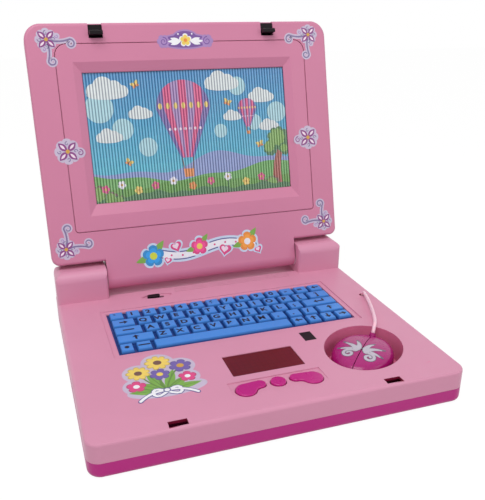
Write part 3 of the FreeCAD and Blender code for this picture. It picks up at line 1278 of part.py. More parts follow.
def mouse_button(side):
    """Left or right half of the mouse's top: a hollow shell that tips on the pin at the palm end."""
    shell = mouse_form(0.0).cut(mouse_form(MOUSE_WALL))
    x = MOUSE_HALF_WIDTH + CUT_MARGIN
    y = MOUSE_HALF_LENGTH + CUT_MARGIN
    keep = block(MOUSE_SEAM / 2, x, -y, y, MOUSE_FLOOR + MOUSE_SKIRT, MOUSE_FLOOR + MOUSE_HEIGHT + CUT_MARGIN)
    shell = shell.common(keep)
    width = MOUSE_EYE_OUTER - MOUSE_EYE_INNER
    eye = rod_along_x(MOUSE_EYE_RADIUS, MOUSE_EYE_INNER, MOUSE_EYE_OUTER, -MOUSE_PIN_BACK, mouse_pin_z())
    web = block(MOUSE_EYE_INNER, MOUSE_EYE_INNER + width, -y, -MOUSE_PIN_BACK, mouse_pin_z(),
                mouse_pin_z() + MOUSE_EYE_RADIUS)
    web = web.common(mouse_form(MOUSE_WALL / 2))
    plunger_foot = mouse_click_top() + MOUSE_CLICK_CLEARANCE
    plunger = post(MOUSE_PLUNGER_RADIUS, MOUSE_CLICK_X, mouse_click_y(), plunger_foot,
                   MOUSE_FLOOR + MOUSE_HEIGHT).common(mouse_form(MOUSE_WALL / 2))
    half = fuse_all([shell, eye, web, plunger])
    bore = MOUSE_PIN_RADIUS + PIN_RUNNING_CLEARANCE
    half = half.cut(rod_along_x(bore, 0, x, -MOUSE_PIN_BACK, mouse_pin_z()))
    radius = BOOT_RADIUS + BOOT_SLOT_CLEARANCE
    reach = 2 * BOOT_LENGTH
    for lift in (0.0, BOOT_SLOT_TRAVEL / 2, BOOT_SLOT_TRAVEL):
        foot = boot_base() + Vector(0, 0, lift)
        half = half.cut(Part.makeCylinder(radius, reach, foot, boot_axis()))
    if side < 0:
        half = mirrored_x(half)
    return half


def mouse_click_y():
    return MOUSE_BOARD[1] / 2 - MOUSE_CLICK_SIZE


def mouse_board_under():
    return MOUSE_FLOOR + MOUSE_TRAY_THICKNESS


def mouse_click_top():
    return mouse_board_under() + MOUSE_BOARD_THICKNESS + MOUSE_CLICK_HEIGHT


def mouse_tray():
    gap = MOUSE_WALL + MOUSE_TRAY_INSET
    tray = ellipse_prism(MOUSE_HALF_WIDTH - gap, MOUSE_HALF_LENGTH - gap, MOUSE_FLOOR, mouse_board_under())
    lugs = []
    for side in (1, -1):
        x0 = side * MOUSE_PIN_HALF_LENGTH
        x1 = x0 - side * MOUSE_LUG_WIDTH
        lug = block(min(x0, x1), max(x0, x1), -MOUSE_PIN_BACK - MOUSE_EYE_RADIUS,
                    -MOUSE_PIN_BACK + MOUSE_EYE_RADIUS, MOUSE_FLOOR, mouse_pin_z() + MOUSE_EYE_RADIUS)
        lugs.append(lug.common(ellipse_prism(MOUSE_HALF_WIDTH - gap, MOUSE_HALF_LENGTH - gap, MOUSE_FLOOR,
                                             BASE_TOP)))
    tray = fuse_all([tray] + lugs)
    return tray.cut(mouse_pin())


def mouse_pin():
    return rod_along_x(MOUSE_PIN_RADIUS, -MOUSE_PIN_HALF_LENGTH, MOUSE_PIN_HALF_LENGTH, -MOUSE_PIN_BACK,
                       mouse_pin_z())


def mouse_board():
    """Small board on the tray with a click switch for each half."""
    z0 = mouse_board_under()
    z1 = z0 + MOUSE_BOARD_THICKNESS
    board = block(-MOUSE_BOARD[0] / 2, MOUSE_BOARD[0] / 2, -MOUSE_BOARD[1] / 2, MOUSE_BOARD[1] / 2, z0, z1)
    half = MOUSE_CLICK_SIZE / 2
    y = mouse_click_y()
    clicks = [block(side * MOUSE_CLICK_X - half, side * MOUSE_CLICK_X + half, y - half, y + half, z1,
                    mouse_click_top()) for side in (1, -1)]
    return fuse_all([board] + clicks)


def mouse_cord_boot():
    """Strain relief on a foot of the tray, leaning out of the nose between the halves."""
    sleeve = Part.makeCylinder(BOOT_RADIUS, BOOT_LENGTH, boot_base(), boot_axis())
    ball = Part.makeSphere(BOOT_RADIUS, boot_base())
    stalk = post(BOOT_RADIUS, 0, boot_base().y, mouse_board_under(), boot_base().z)
    return fuse_all([sleeve, ball, stalk])


# Cord

def cord_anchor():
    """Holder under the top wall that grips the cord's inner end."""
    y = from_front(CORD_HOLE_FROM_FRONT)
    body = post(CORD_ANCHOR_RADIUS, CORD_HOLE_X, y, WALL_UNDER - CORD_ANCHOR_HEIGHT, WALL_UNDER)
    socket = post(CORD_RADIUS, CORD_HOLE_X, y, BASE_TOP - CORD_START_SINK, WALL_UNDER)
    return body.cut(socket)


def rounded_route(points):
    """Wire of straight runs joined by tangent arcs, each as large as its two runs allow, and its radii."""
    edges = []
    radii = []
    reached = points[0]
    for before, corner, after in zip(points, points[1:], points[2:]):
        arriving = corner - before
        leaving = after - corner
        setback = CORD_ARC_SHARE * min(arriving.Length, leaving.Length)
        half_turn = arriving.getAngle(leaving) / 2
        arriving.normalize()
        leaving.normalize()
        radius = setback / math.tan(half_turn)
        inward = leaving - arriving
        inward.normalize()
        arc_start = corner - arriving * setback
        arc_middle = corner + inward * (radius / math.cos(half_turn) - radius)
        arc_end = corner + leaving * setback
        edges.append(Part.LineSegment(reached, arc_start).toShape())
        edges.append(Part.Arc(arc_start, arc_middle, arc_end).toShape())
        radii.append(radius)
        reached = arc_end
    edges.append(Part.LineSegment(reached, points[-1]).toShape())
    return Part.Wire(edges), radii


def mouse_cord():
    start = Vector(CORD_HOLE_X, from_front(CORD_HOLE_FROM_FRONT), BASE_TOP - CORD_START_SINK)
    tip = boot_base() + boot_axis() * BOOT_LENGTH
    beyond = tip + boot_axis() * CORD_BOOT_BEND
    middle = [Vector(BASE_WIDTH / 2 - inset, from_front(distance), BASE_TOP + rise)
              for inset, distance, rise in CORD_MIDDLE]
    ends = [mouse_point(place.x, place.y, place.z) for place in (beyond, tip)]
    path, radii = rounded_route([start] + middle + ends)
    ring = Part.Wire([Part.Circle(start, Vector(0, 0, 1), CORD_RADIUS).toShape()])
    tube = path.makePipeShell([ring], True, False)
    section = math.pi * CORD_RADIUS ** 2
    print("cord length", round(path.Length, 1), "radii", [round(radius, 1) for radius in radii])
    print("cord volume over section times length", round(tube.Volume / (section * path.Length), 4))
    return tube


def main():
    pieces = {
        "base_top_shell": base_top_shell(),
        "mouse_well": mouse_well(),
        "base_bottom_shell": base_bottom_shell(),
        "base_screws": base_screws(),
        "battery_door": battery_door(),
        "battery_door_screw": battery_door_screw(),
        "battery_cells": battery_cells(),
        "battery_contacts": battery_contacts(),
        "main_board": main_board(),
        "key_domes": key_domes(),
        "front_board": front_board(),
        "button_domes": button_domes(),
        "display_leds": display_leds(),
        "display_window": display_window(),
        "status_lens": status_lens(),
        "speaker": speaker(),
        "power_switch_body": power_switch_body(),
        "power_knob": power_knob(),
        "keyboard": keyboard(),
        "left_button": bean_button(-1),
        "round_button": round_button(),
        "right_button": bean_button(1),
        "right_hinge_pin": hinge_pin(),
        "left_hinge_pin": mirrored_x(hinge_pin()),
        "hinge_washers": Part.makeCompound(both_sides(hinge_washer())),
        "lid_front_shell": stand_lid(lid_front_shell()),
        "lid_back_shell": stand_lid(lid_back_shell()),
        "lid_screws": stand_lid(lid_screws()),
        "screen_bezel": stand_lid(screen_bezel()),
        "screen_lens": stand_lid(screen_lens()),
        "picture_card": stand_lid(picture_card()),
        "screen_clamp": stand_lid(screen_clamp()),
        "screen_screws": stand_lid(screen_screws()),
        "right_latch": stand_lid(latch()),
        "left_latch": stand_lid(mirrored_x(latch())),
        "latch_pins": stand_lid(latch_pins()),
        "mouse_tray": seat_mouse(mouse_tray()),
        "mouse_board": seat_mouse(mouse_board()),
        "mouse_button_pin": seat_mouse(mouse_pin()),
        "mouse_cord_boot": seat_mouse(mouse_cord_boot()),
        "mouse_left_button": seat_mouse(mouse_button(-1)),
        "mouse_right_button": seat_mouse(mouse_button(1)),
        "cord_anchor": cord_anchor(),
        "mouse_cord": mouse_cord(),
    }
    os.makedirs("parts", exist_ok=True)
    for name, shape in pieces.items():
        shape.exportStep("parts/" + name + ".step")
        print(name, shape.ShapeType, len(shape.Solids), round(shape.Volume), shape.isValid())


main()
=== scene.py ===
"""Looks of the toy laptop: moulded plastics, printed stickers, key legends, the striped picture
behind the ribbed sheet, and the mouse's cord. The scene is in metres, in the part's own frame.
Sizes written here are millimetres, unless MM or a comment makes them metres.
"""

import json
import math

import bmesh
import bpy
from mathutils import Matrix, Vector


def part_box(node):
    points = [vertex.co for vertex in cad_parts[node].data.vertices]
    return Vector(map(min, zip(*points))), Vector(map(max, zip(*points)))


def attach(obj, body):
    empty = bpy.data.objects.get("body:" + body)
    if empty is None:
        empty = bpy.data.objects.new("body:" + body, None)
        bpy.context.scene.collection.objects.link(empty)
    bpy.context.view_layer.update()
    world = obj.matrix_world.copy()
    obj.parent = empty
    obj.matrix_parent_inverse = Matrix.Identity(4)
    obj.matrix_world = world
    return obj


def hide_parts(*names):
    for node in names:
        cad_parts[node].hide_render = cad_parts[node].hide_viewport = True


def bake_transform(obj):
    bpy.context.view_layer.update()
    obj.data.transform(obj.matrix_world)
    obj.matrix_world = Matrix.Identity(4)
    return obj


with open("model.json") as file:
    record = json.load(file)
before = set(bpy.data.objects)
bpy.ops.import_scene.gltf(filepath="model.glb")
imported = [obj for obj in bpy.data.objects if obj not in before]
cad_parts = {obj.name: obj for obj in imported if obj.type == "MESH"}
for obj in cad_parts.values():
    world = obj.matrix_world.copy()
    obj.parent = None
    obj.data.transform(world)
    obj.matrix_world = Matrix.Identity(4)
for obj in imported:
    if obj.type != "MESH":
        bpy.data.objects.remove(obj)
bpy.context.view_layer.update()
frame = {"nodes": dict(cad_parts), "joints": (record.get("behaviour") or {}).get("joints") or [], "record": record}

MM = 0.001

# Places taken from the frame, in metres
BASE_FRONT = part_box("base_bottom_shell")[0].y
BASE_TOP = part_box("status_lens")[1].z
HINGE = next(joint for joint in frame["joints"] if joint["name"] == "lid_hinge")
LID_TILT = math.radians(180.0 + HINGE["range_deg"][0])
LID = Matrix.Translation(HINGE["pos_m"]) @ Matrix.Rotation(LID_TILT, 4, "X")
TRAY_LOW, TRAY_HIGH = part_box("mouse_tray")
MOUSE_TURN = math.radians(-45.0)
MOUSE_CENTRE = (TRAY_LOW + TRAY_HIGH) / 2
MOUSE = Matrix.Translation((MOUSE_CENTRE.x, MOUSE_CENTRE.y, 0)) @ Matrix.Rotation(MOUSE_TURN, 4, "Z")
KEYBOARD_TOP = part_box("keyboard")[1].z
MOUSE_TOP = max(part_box("mouse_left_button")[1].z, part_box("mouse_right_button")[1].z)

# Heights of the lid's face and of the picture card over the hinge axis
LID_FACE = 8.3
CARD_FACE = 3.7

# Radius of the mouse's crown, and the seam between its halves
MOUSE_CROWN = 95.0
MOUSE_SEAM = 0.5

# Depths under the tops of the keys between which painted shade darkens their gaps
KEY_GAP_DEPTH = 2.6 * MM
KEY_EDGE_DEPTH = 0.3 * MM

# Walls of the holes in the deck, where shade is painted
HOLLOW_MARGIN = 1.0 * MM
HOLLOW_SINK = 0.2 * MM
HOLLOW_DEPTH = 6.0 * MM
CORD_HOLE_HALF = 2.4 * MM

# Colours as they look in daylight, red green blue from 0 to 255
BASE_PINK = (217, 148, 176)
# Painted shade: the well's pink, darker than the deck's, for the shade in the recess
WELL_SHADED_PINK = (225, 121, 160)
# Painted shade on the walls of the latch slots and the cord hole
HOLLOW_SHADE_RED = (142, 24, 62)
# Painted shade: the base's pink made darker for the lid, whose face gets less light
LID_SHADED_PINK = (210, 132, 163)
MAGENTA = (186, 32, 128)
MAGENTA_GLOSS = (190, 14, 126)
# Painted shade: the buttons' magenta made darker for the mouse, which sits in the shade of the well
MOUSE_SHADED_MAGENTA = (170, 12, 114)
KEY_BLUE = (70, 142, 226)
# Painted shade deep in the gaps between the keys
KEY_GAP_SHADE_BLUE = (26, 62, 132)
WINDOW_RED = (100, 8, 26)
BLACK = (22, 16, 20)
CORD_PINK = (252, 206, 222)
WHITE = (244, 240, 240)
CARD_WHITE = (236, 238, 236)
STEEL = (190, 190, 194)
BOARD_GREEN = (38, 96, 62)
RUBBER_GREY = (150, 150, 152)
LED_RED = (200, 30, 40)
CELL_COLOUR = (60, 74, 84)
LEGEND_INK = (14, 16, 42)

# Inks of the stickers and of the picture
SILVER_LILAC = (204, 190, 214)
GREY_VIOLET = (128, 112, 156)
PLUM = (138, 52, 132)
BLUSH = (250, 226, 240)
GOLD = (214, 164, 62)
LILAC = (170, 132, 192)
PURPLE = (116, 72, 154)
PALE_BLUE = (206, 224, 244)
NAVY = (74, 78, 146)
PAPER = (248, 248, 252)
BLOSSOM_BLUE = (22, 140, 206)
LIME = (214, 224, 48)
ORANGE = (240, 142, 44)
HOT_PINK = (226, 62, 132)
LEAF_GREEN = (122, 176, 62)
YELLOW = (246, 214, 92)
BROWN = (112, 74, 60)
VIOLET = (112, 92, 172)
SILVER = (196, 188, 202)
SLATE = (96, 86, 104)
SKY_HIGH = (10, 140, 202)
SKY_LOW = (84, 208, 222)
CLOUD = (232, 242, 240)
HILL_FAR = (140, 160, 214)
HAZE_PALE = (176, 226, 234)
BUSH_BROWN = (116, 92, 74)
HILL_NEAR = (98, 176, 74)
GRASS = (88, 160, 30)
GRASS_DARK = (50, 122, 54)
TRUNK = (176, 84, 62)

# Noise in the surfaces, in features per metre, the levels that it is spread between, and its bumps
MOTTLING = 22.0
WINDOW_CLOUDS = 30.0
SHEET_HAZE = 60.0
GLOSS_PATCHES = 90.0
INK_PATCHES = 140.0
CORD_BLOOM = 160.0
# Spots where edges are painted lighter, partly as wear and partly as painted highlight
WEAR_AND_HIGHLIGHT_SPOTS = 180.0
WAVES = 260.0
WAVE_STRENGTH = 0.05
WAVE_DEPTH = 0.3 * MM
METAL_SHADES = 300.0
METAL_BRUSHING = 900.0
CORD_GRAIN = 1800.0
CORD_GRAIN_STRENGTH = 0.08
CORD_GRAIN_DEPTH = 0.1 * MM
GRAIN = 2600.0
GRAIN_DEPTH = 0.08 * MM
NOISE_LOW = 0.3
NOISE_HIGH = 0.7

# Other patterns in the surfaces, in features per metre
LAMP_CELLS = 240.0
DOT_SCREEN = 2200.0
BOARD_TRACKS = 120.0

# Sharp edges: radii of their rounded look, the agreement of normals on and off them, and how much lighter their
# painted highlight and wear make them
EDGE_ROUND = 0.6 * MM
SMALL_EDGE_ROUND = 0.4 * MM
EDGE_FLAT = 0.99
EDGE_SHARP = 0.8
EDGE_HIGHLIGHT_AND_WEAR = 1.12

# Clear coat of the glossy plastics
COAT_ROUGHNESS = 0.12

# Stripes of the ribbed sheet's highlight and shade, painted into the picture: their pitch, where painted highlight
# turns to painted shade, and how strong they are
RIB_PITCH = 2.5 * MM
RIB_TURN = 0.2
RIB_DARKEST = -0.9
RIB_LIGHT = 0.2
RIB_SHADE = 0.66


def linear(colour):
    """Scene-linear values of a colour given from 0 to 255."""
    values = []
    for part in colour:
        share = part / 255
        values.append(share / 12.92 if share <= 0.04045 else ((share + 0.055) / 1.055) ** 2.4)
    return (*values, 1.0)


def scaled(colour, factor):
    return tuple(min(255, part * factor) for part in colour)


# Shader nodes

def feed(tree, node, inputs):
    """Set a node's sockets, named or numbered, to plain values, or link them to other sockets."""
    for name, value in inputs.items():
        if isinstance(value, bpy.types.NodeSocket):
            tree.links.new(value, node.inputs[name])
        else:
            node.inputs[name].default_value = value


def add(tree, kind, inputs, **settings):
    """Outputs of a new node."""
    node = tree.nodes.new(kind)
    for name, value in settings.items():
        setattr(node, name, value)
    feed(tree, node, inputs)
    return node.outputs


def calculate(tree, operation, *values, kind="ShaderNodeMath"):
    return add(tree, kind, dict(enumerate(values)), operation=operation)[0]


def largest(tree, sockets):
    most, *others = sockets
    for socket in others:
        most = calculate(tree, "MAXIMUM", most, socket)
    return most


def split(tree, vector):
    """Sockets with the X, Y and Z of a vector."""
    return add(tree, "ShaderNodeSeparateXYZ", {0: vector})


def new_material(name):
    material = bpy.data.materials.new(name)
    material.use_nodes = True
    tree = material.node_tree
    return material, tree, tree.nodes["Principled BSDF"]


def object_place(tree):
    return add(tree, "ShaderNodeTexCoord", {})["Object"]


def noise(tree, place, scale, detail=2.0):
    return add(tree, "ShaderNodeTexNoise", {"Vector": place, "Scale": scale, "Detail": detail})["Fac"]


def remap(tree, value, old_low, old_high, new_low, new_high):
    ends = {"From Min": old_low, "From Max": old_high, "To Min": new_low, "To Max": new_high}
    return add(tree, "ShaderNodeMapRange", {"Value": value, **ends})["Result"]


def uneven(tree, place, scale, low, high, detail=2.0):
    """Noise spread between a low and a high value."""
    return remap(tree, noise(tree, place, scale, detail), NOISE_LOW, NOISE_HIGH, low, high)


def mix(tree, factor, first, second, blend="MIX"):
    """Mixed colour; first and second are sockets or colours."""
    inputs = {0: factor, 6: first, 7: second}
    return add(tree, "ShaderNodeMix", inputs, data_type="RGBA", blend_type=blend)[2]


def mottled(tree, place, colour, scale, dark, light, detail=2.0):
    """Colour that wanders between a darker and a lighter share of itself."""
    patches = noise(tree, place, scale, detail)
    return mix(tree, patches, linear(scaled(colour, dark)), linear(scaled(colour, light)))


def bump(tree, height, strength, distance, normal=None):
    inputs = {"Height": height, "Strength": strength, "Distance": distance}
    if normal is not None:
        inputs["Normal"] = normal
    return add(tree, "ShaderNodeBump", inputs)["Normal"]


def soft_edges(tree, radius):
    """Normal rounded over sharp edges, and how far each point lies on such an edge."""
    rounded = add(tree, "ShaderNodeBevel", {"Radius": radius}, samples=4)["Normal"]
    true = add(tree, "ShaderNodeNewGeometry", {})["True Normal"]
    dot = add(tree, "ShaderNodeVectorMath", {0: rounded, 1: true}, operation="DOT_PRODUCT")["Value"]
    return rounded, remap(tree, dot, EDGE_FLAT, EDGE_SHARP, 0.0, 1.0)


def inside_box(tree, place, low, high):
    """1 inside a box and 0 outside it."""
    share = place
    for operation, *other in (("SUBTRACT", (low + high) / 2), ("DIVIDE", (high - low) / 2), ("ABSOLUTE",)):
        share = calculate(tree, operation, share, *other, kind="ShaderNodeVectorMath")
    return remap(tree, largest(tree, split(tree, share)), 1.0, 0.98, 0.0, 1.0)


# Materials

def moulded(name, colour, roughness, grain, edge=EDGE_ROUND, coat=0.0, shine=0.35, depth=None, hollows=()):
    """Moulded plastic: faint mottling, a fine surface grain, and sharp edges painted lighter in random spots,
    partly as wear and partly as painted highlight.

    depth, where given, is a low and a high level and the colour of painted shade at the low one, which fades out
    by the high one.
    hollows are boxes, each with the colour of the shade painted on the walls inside it.
    """
    material, tree, shader = new_material(name)
    place = object_place(tree)
    shade = mottled(tree, place, colour, MOTTLING, 0.98, 1.015, 3.0)
    # Painted shade, darker towards the low level of depth
    if depth:
        low, high, low_shade_colour = depth
        level = split(tree, place)["Z"]
        shade = mix(tree, remap(tree, level, low, high, 0.0, 1.0), linear(low_shade_colour), shade)
    # Painted shade on the walls of the holes
    for low, high, wall_colour in hollows:
        shade = mix(tree, inside_box(tree, place, low, high), shade, linear(wall_colour))
    normal, on_edge = soft_edges(tree, edge)
    # Painted highlight and wear: sharp edges lighter in random spots
    worn_and_lit = remap(tree, noise(tree, place, WEAR_AND_HIGHLIGHT_SPOTS), 0.35, 0.7, 0.05, 0.4)
    wear_and_highlight = calculate(tree, "MULTIPLY", on_edge, worn_and_lit)
    normal = bump(tree, noise(tree, place, WAVES), WAVE_STRENGTH, WAVE_DEPTH, normal)
    feed(tree, shader, {
        "Base Color": mix(tree, wear_and_highlight, shade, linear(scaled(colour, EDGE_HIGHLIGHT_AND_WEAR))),
        "Roughness": uneven(tree, place, GLOSS_PATCHES, roughness - 0.05, roughness + 0.06, 4.0),
        "Normal": bump(tree, noise(tree, place, GRAIN), grain, GRAIN_DEPTH, normal),
        "Specular IOR Level": shine,
        "Coat Weight": coat,
        "Coat Roughness": COAT_ROUGHNESS,
    })
    return material


def metal(name, colour, roughness):
    material, tree, shader = new_material(name)
    place = object_place(tree)
    feed(tree, shader, {
        "Base Color": mottled(tree, place, colour, METAL_SHADES, 0.9, 1.05),
        "Roughness": uneven(tree, place, METAL_BRUSHING, roughness - 0.08, roughness + 0.1, 3.0),
        "Metallic": 1.0,
    })
    return material


def smoked_window(name, colour):
    """Dark tinted window with a faint grid of lamp cells under a clear surface."""
    material, tree, shader = new_material(name)
    place = object_place(tree)
    inputs = {"Vector": place, "Scale": LAMP_CELLS, "Randomness": 0.0}
    cells = add(tree, "ShaderNodeTexVoronoi", inputs, feature="DISTANCE_TO_EDGE")
    grid = remap(tree, cells["Distance"], 0.0, 0.12, 0.0, 1.0)
    shade = mix(tree, grid, linear(scaled(colour, 0.86)), linear(colour))
    patches = uneven(tree, place, WINDOW_CLOUDS, 0.0, 0.35)
    feed(tree, shader, {
        "Base Color": mix(tree, patches, shade, linear(scaled(colour, 1.18))),
        "Roughness": 0.28,
        "Specular IOR Level": 0.25,
    })
    return material


def clear_sheet(name):
    material, tree, shader = new_material(name)
    feed(tree, shader, {
        "Base Color": linear(PAPER),
        "Alpha": uneven(tree, object_place(tree), SHEET_HAZE, 0.01, 0.04, 4.0),
        "Roughness": 0.12,
        "Specular IOR Level": 0.3,
    })
    return material


def printed(name, stripe_pitch=None):
    """Printed film: the shapes' own inks with a fine dot screen, and stripes of painted highlight and shade where
    a ribbed sheet lies over it.
    """
    material, tree, shader = new_material(name)
    ink = add(tree, "ShaderNodeAttribute", {}, attribute_name=INK)["Color"]
    place = object_place(tree)
    dots = add(tree, "ShaderNodeTexVoronoi", {"Vector": place, "Scale": DOT_SCREEN})
    screen = remap(tree, dots["Distance"], 0.0, 0.7, 0.0, 0.05)
    shade = mix(tree, screen, ink, linear(PAPER))
    patches = uneven(tree, place, INK_PATCHES, 0.0, 0.10, 3.0)
    shade = mix(tree, patches, shade, linear(SLATE), "MULTIPLY")
    if stripe_pitch:
        shade = rib_stripes(tree, place, shade, stripe_pitch)
    feed(tree, shader, {"Base Color": shade, "Roughness": 0.34, "Specular IOR Level": 0.4})
    return material


def rib_stripes(tree, place, shade, pitch):
    """Painted highlight and shade in bands, like those that upright ribs over a picture throw."""
    angle = calculate(tree, "MULTIPLY", split(tree, place)["X"], 2 * math.pi / pitch)
    wave = calculate(tree, "COSINE", angle)
    light = remap(tree, wave, RIB_TURN, 1.0, 0.0, RIB_LIGHT)
    dark = remap(tree, wave, RIB_TURN, RIB_DARKEST, 0.0, RIB_SHADE)
    shade = mix(tree, light, shade, linear(PAPER))
    return mix(tree, dark, shade, linear(scaled(NAVY, 0.7)), "MULTIPLY")


def circuit_board(name, colour):
    material, tree, shader = new_material(name)
    tracks = add(tree, "ShaderNodeTexBrick", {
        "Vector": object_place(tree),
        "Scale": BOARD_TRACKS,
        "Mortar Size": 0.03,
        "Color1": linear(colour),
        "Color2": linear(scaled(colour, 0.9)),
        "Mortar": linear(scaled(colour, 1.4)),
    })
    feed(tree, shader, {"Base Color": tracks["Color"], "Roughness": 0.4})
    return material


def soft_cord(name, colour):
    """Soft cord sheath with a faint bloom and light glowing through it."""
    material, tree, shader = new_material(name)
    place = object_place(tree)
    feed(tree, shader, {
        "Base Color": mottled(tree, place, colour, CORD_BLOOM, 0.96, 1.02),
        "Roughness": 0.36,
        "Subsurface Weight": 0.25,
        "Subsurface Radius": (0.002, 0.001, 0.001),
        "Normal": bump(tree, noise(tree, place, CORD_GRAIN), CORD_GRAIN_STRENGTH, CORD_GRAIN_DEPTH),
    })
    return material


def deck_hollows():
    """Boxes round the holes in the deck, from just under its face downwards, with the colours of the shade painted
    on their walls.
    """
    x, from_front, _ = CORD_ROUTE[0]
    exit_reach = Vector((CORD_HOLE_HALF, CORD_HOLE_HALF, 0.0))
    exit_at = on_base(x, from_front, 0.0)
    # Painted shade for the walls of the well, the cord hole and the latch slots
    holes = [(*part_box("mouse_well"), WELL_SHADED_PINK), (exit_at - exit_reach, exit_at + exit_reach, HOLLOW_SHADE_RED)]
    for opening in frame["record"]["physics"]["openings"]:
        holes.append((*(Vector(corner) for corner in opening["box_m"]), HOLLOW_SHADE_RED))
    margin = Vector((HOLLOW_MARGIN, HOLLOW_MARGIN, 0.0))
    boxes = []
    for low, high, colour in holes:
        low, high = low - margin, high + margin
        high.z = BASE_TOP - HOLLOW_SINK
        low.z = high.z - HOLLOW_DEPTH
        boxes.append((low, high, colour))
    return boxes


def make_materials():
    # Painted shade deep in the gaps between the keys
    key_gap_shade = (KEYBOARD_TOP - KEY_GAP_DEPTH, KEYBOARD_TOP - KEY_EDGE_DEPTH, KEY_GAP_SHADE_BLUE)
    small = SMALL_EDGE_ROUND
    return {
        "base_pink": moulded("base_pink", BASE_PINK, 0.42, 0.10, hollows=deck_hollows()),
        # Painted shade: the well darker than the deck
        "well_shaded_pink": moulded("well_shaded_pink", WELL_SHADED_PINK, 0.42, 0.10),
        # Painted shade: the base's plastic made darker for the lid
        "lid_pink": moulded("lid_pink", LID_SHADED_PINK, 0.40, 0.08),
        "magenta_shell": moulded("magenta_shell", MAGENTA, 0.38, 0.10),
        "magenta_gloss": moulded("magenta_gloss", MAGENTA_GLOSS, 0.26, 0.03, coat=0.15),
        # Painted shade: the glossy magenta made darker for the mouse in its well
        "mouse_shaded_magenta": moulded("mouse_shaded_magenta", MOUSE_SHADED_MAGENTA, 0.26, 0.03, coat=0.15),
        "key_blue": moulded("key_blue", KEY_BLUE, 0.40, 0.08, edge=small, depth=key_gap_shade),
        "black_plastic": moulded("black_plastic", BLACK, 0.34, 0.08, edge=small, shine=0.15),
        "white_plastic": moulded("white_plastic", WHITE, 0.40, 0.08),
        "rubber": moulded("rubber", RUBBER_GREY, 0.62, 0.16),
        "led": moulded("led", LED_RED, 0.20, 0.02, coat=0.4),
        "cell": moulded("cell", CELL_COLOUR, 0.32, 0.03),
        "window_red": smoked_window("window_red", WINDOW_RED),
        "clear_sheet": clear_sheet("clear_sheet"),
        "card": moulded("card", CARD_WHITE, 0.60, 0.20),
        "steel": metal("steel", STEEL, 0.34),
        "board": circuit_board("board", BOARD_GREEN),
        "cord": soft_cord("cord", CORD_PINK),
        "sticker": printed("sticker"),
        "picture": printed("picture", stripe_pitch=RIB_PITCH),
        "legend": moulded("legend", LEGEND_INK, 0.5, 0.05),
    }


NODE_FINISH = {
    "base_pink": ["base_top_shell"],
    "well_shaded_pink": ["mouse_well"],
    "lid_pink": ["lid_front_shell", "lid_back_shell", "screen_bezel"],
    "magenta_shell": ["base_bottom_shell", "battery_door"],
    "magenta_gloss": ["left_button", "round_button", "right_button"],
    "mouse_shaded_magenta": ["mouse_left_button", "mouse_right_button", "mouse_tray", "mouse_cord_boot"],
    "key_blue": ["keyboard"],
    "window_red": ["display_window"],
    "black_plastic": ["status_lens", "power_knob", "power_switch_body", "left_latch", "right_latch",
                      "speaker"],
    "clear_sheet": ["screen_lens"],
    "card": ["picture_card"],
    "white_plastic": ["screen_clamp", "hinge_washers", "cord_anchor"],
    "steel": ["base_screws", "battery_door_screw", "lid_screws", "screen_screws", "left_hinge_pin",
              "right_hinge_pin", "latch_pins", "mouse_button_pin", "battery_contacts"],
    "board": ["main_board", "front_board", "mouse_board"],
    "rubber": ["key_domes", "button_domes"],
    "led": ["display_leds"],
    "cell": ["battery_cells"],
}


def finish_nodes(materials):
    for finish, names in NODE_FINISH.items():
        for name in names:
            slots = frame["nodes"][name].data.materials
            slots.clear()
            slots.append(materials[finish])


# Meshes and objects

def add_object(name, mesh, material):
    """Object of a mesh under construction, which is freed."""
    data = bpy.data.meshes.new(name)
    mesh.to_mesh(data)
    mesh.free()
    data.materials.append(material)
    thing = bpy.data.objects.new(name, data)
    bpy.context.scene.collection.objects.link(thing)
    return thing


def mesh_of(curve):
    """Mesh of a curve or of text, which is removed."""
    holder = bpy.data.objects.new(curve.name, curve)
    data = bpy.data.meshes.new_from_object(holder)
    bpy.data.objects.remove(holder)
    bpy.data.curves.remove(curve)
    return data


# Outlines and lines of printed shapes, on the sticker

def away(x, y, turn, reach):
    """Point at a distance from x, y in the direction of turn."""
    return (x + reach * math.cos(turn), y + reach * math.sin(turn))


def turned(points, x, y, turn):
    return [(x + u * math.cos(turn) - w * math.sin(turn), y + u * math.sin(turn) + w * math.cos(turn))
            for u, w in points]


def oval(x, y, half_x, half_y, steps=36):
    turns = [2 * math.pi * i / steps for i in range(steps)]
    return [(x + half_x * math.cos(turn), y + half_y * math.sin(turn)) for turn in turns]


def disc(x, y, radius, steps=28):
    return oval(x, y, radius, radius, steps)


def blossom(x, y, radius, petals, depth=0.38, turn=0.0):
    """Flower with notches between its petals, as deep as the share of its radius given."""
    steps = petals * 12
    outline = []
    for i in range(steps):
        angle = 2 * math.pi * i / steps
        reach = radius * (1 - depth + depth * math.sqrt(abs(math.cos(petals * angle / 2))))
        outline.append(away(x, y, angle + turn, reach))
    return outline


def leaf(x, y, length, width, turn, steps=9):
    """Pointed leaf from its foot at x, y."""
    side = [(length * i / steps, width / 2 * math.sin(math.pi * i / steps)) for i in range(steps + 1)]
    return turned(side + [(u, -w) for u, w in reversed(side[1:-1])], x, y, turn)


def heart(x, y, size, turn=0.0, steps=36):
    outline = []
    for i in range(steps):
        t = 2 * math.pi * i / steps
        u = math.sin(t) ** 3
        w = (13 * math.cos(t) - 5 * math.cos(2 * t) - 2 * math.cos(3 * t) - math.cos(4 * t)) / 16
        outline.append((size * u, size * w))
    return turned(outline, x, y, turn)


def spiral(x, y, radius, turns, start, hand=1, inner=0.25, steps=36):
    """Line of a scroll that winds inwards about x, y."""
    line = []
    for i in range(steps + 1):
        share = i / steps
        reach = radius * (1 - (1 - inner) * share)
        line.append(away(x, y, start + hand * 2 * math.pi * turns * share, reach))
    return line


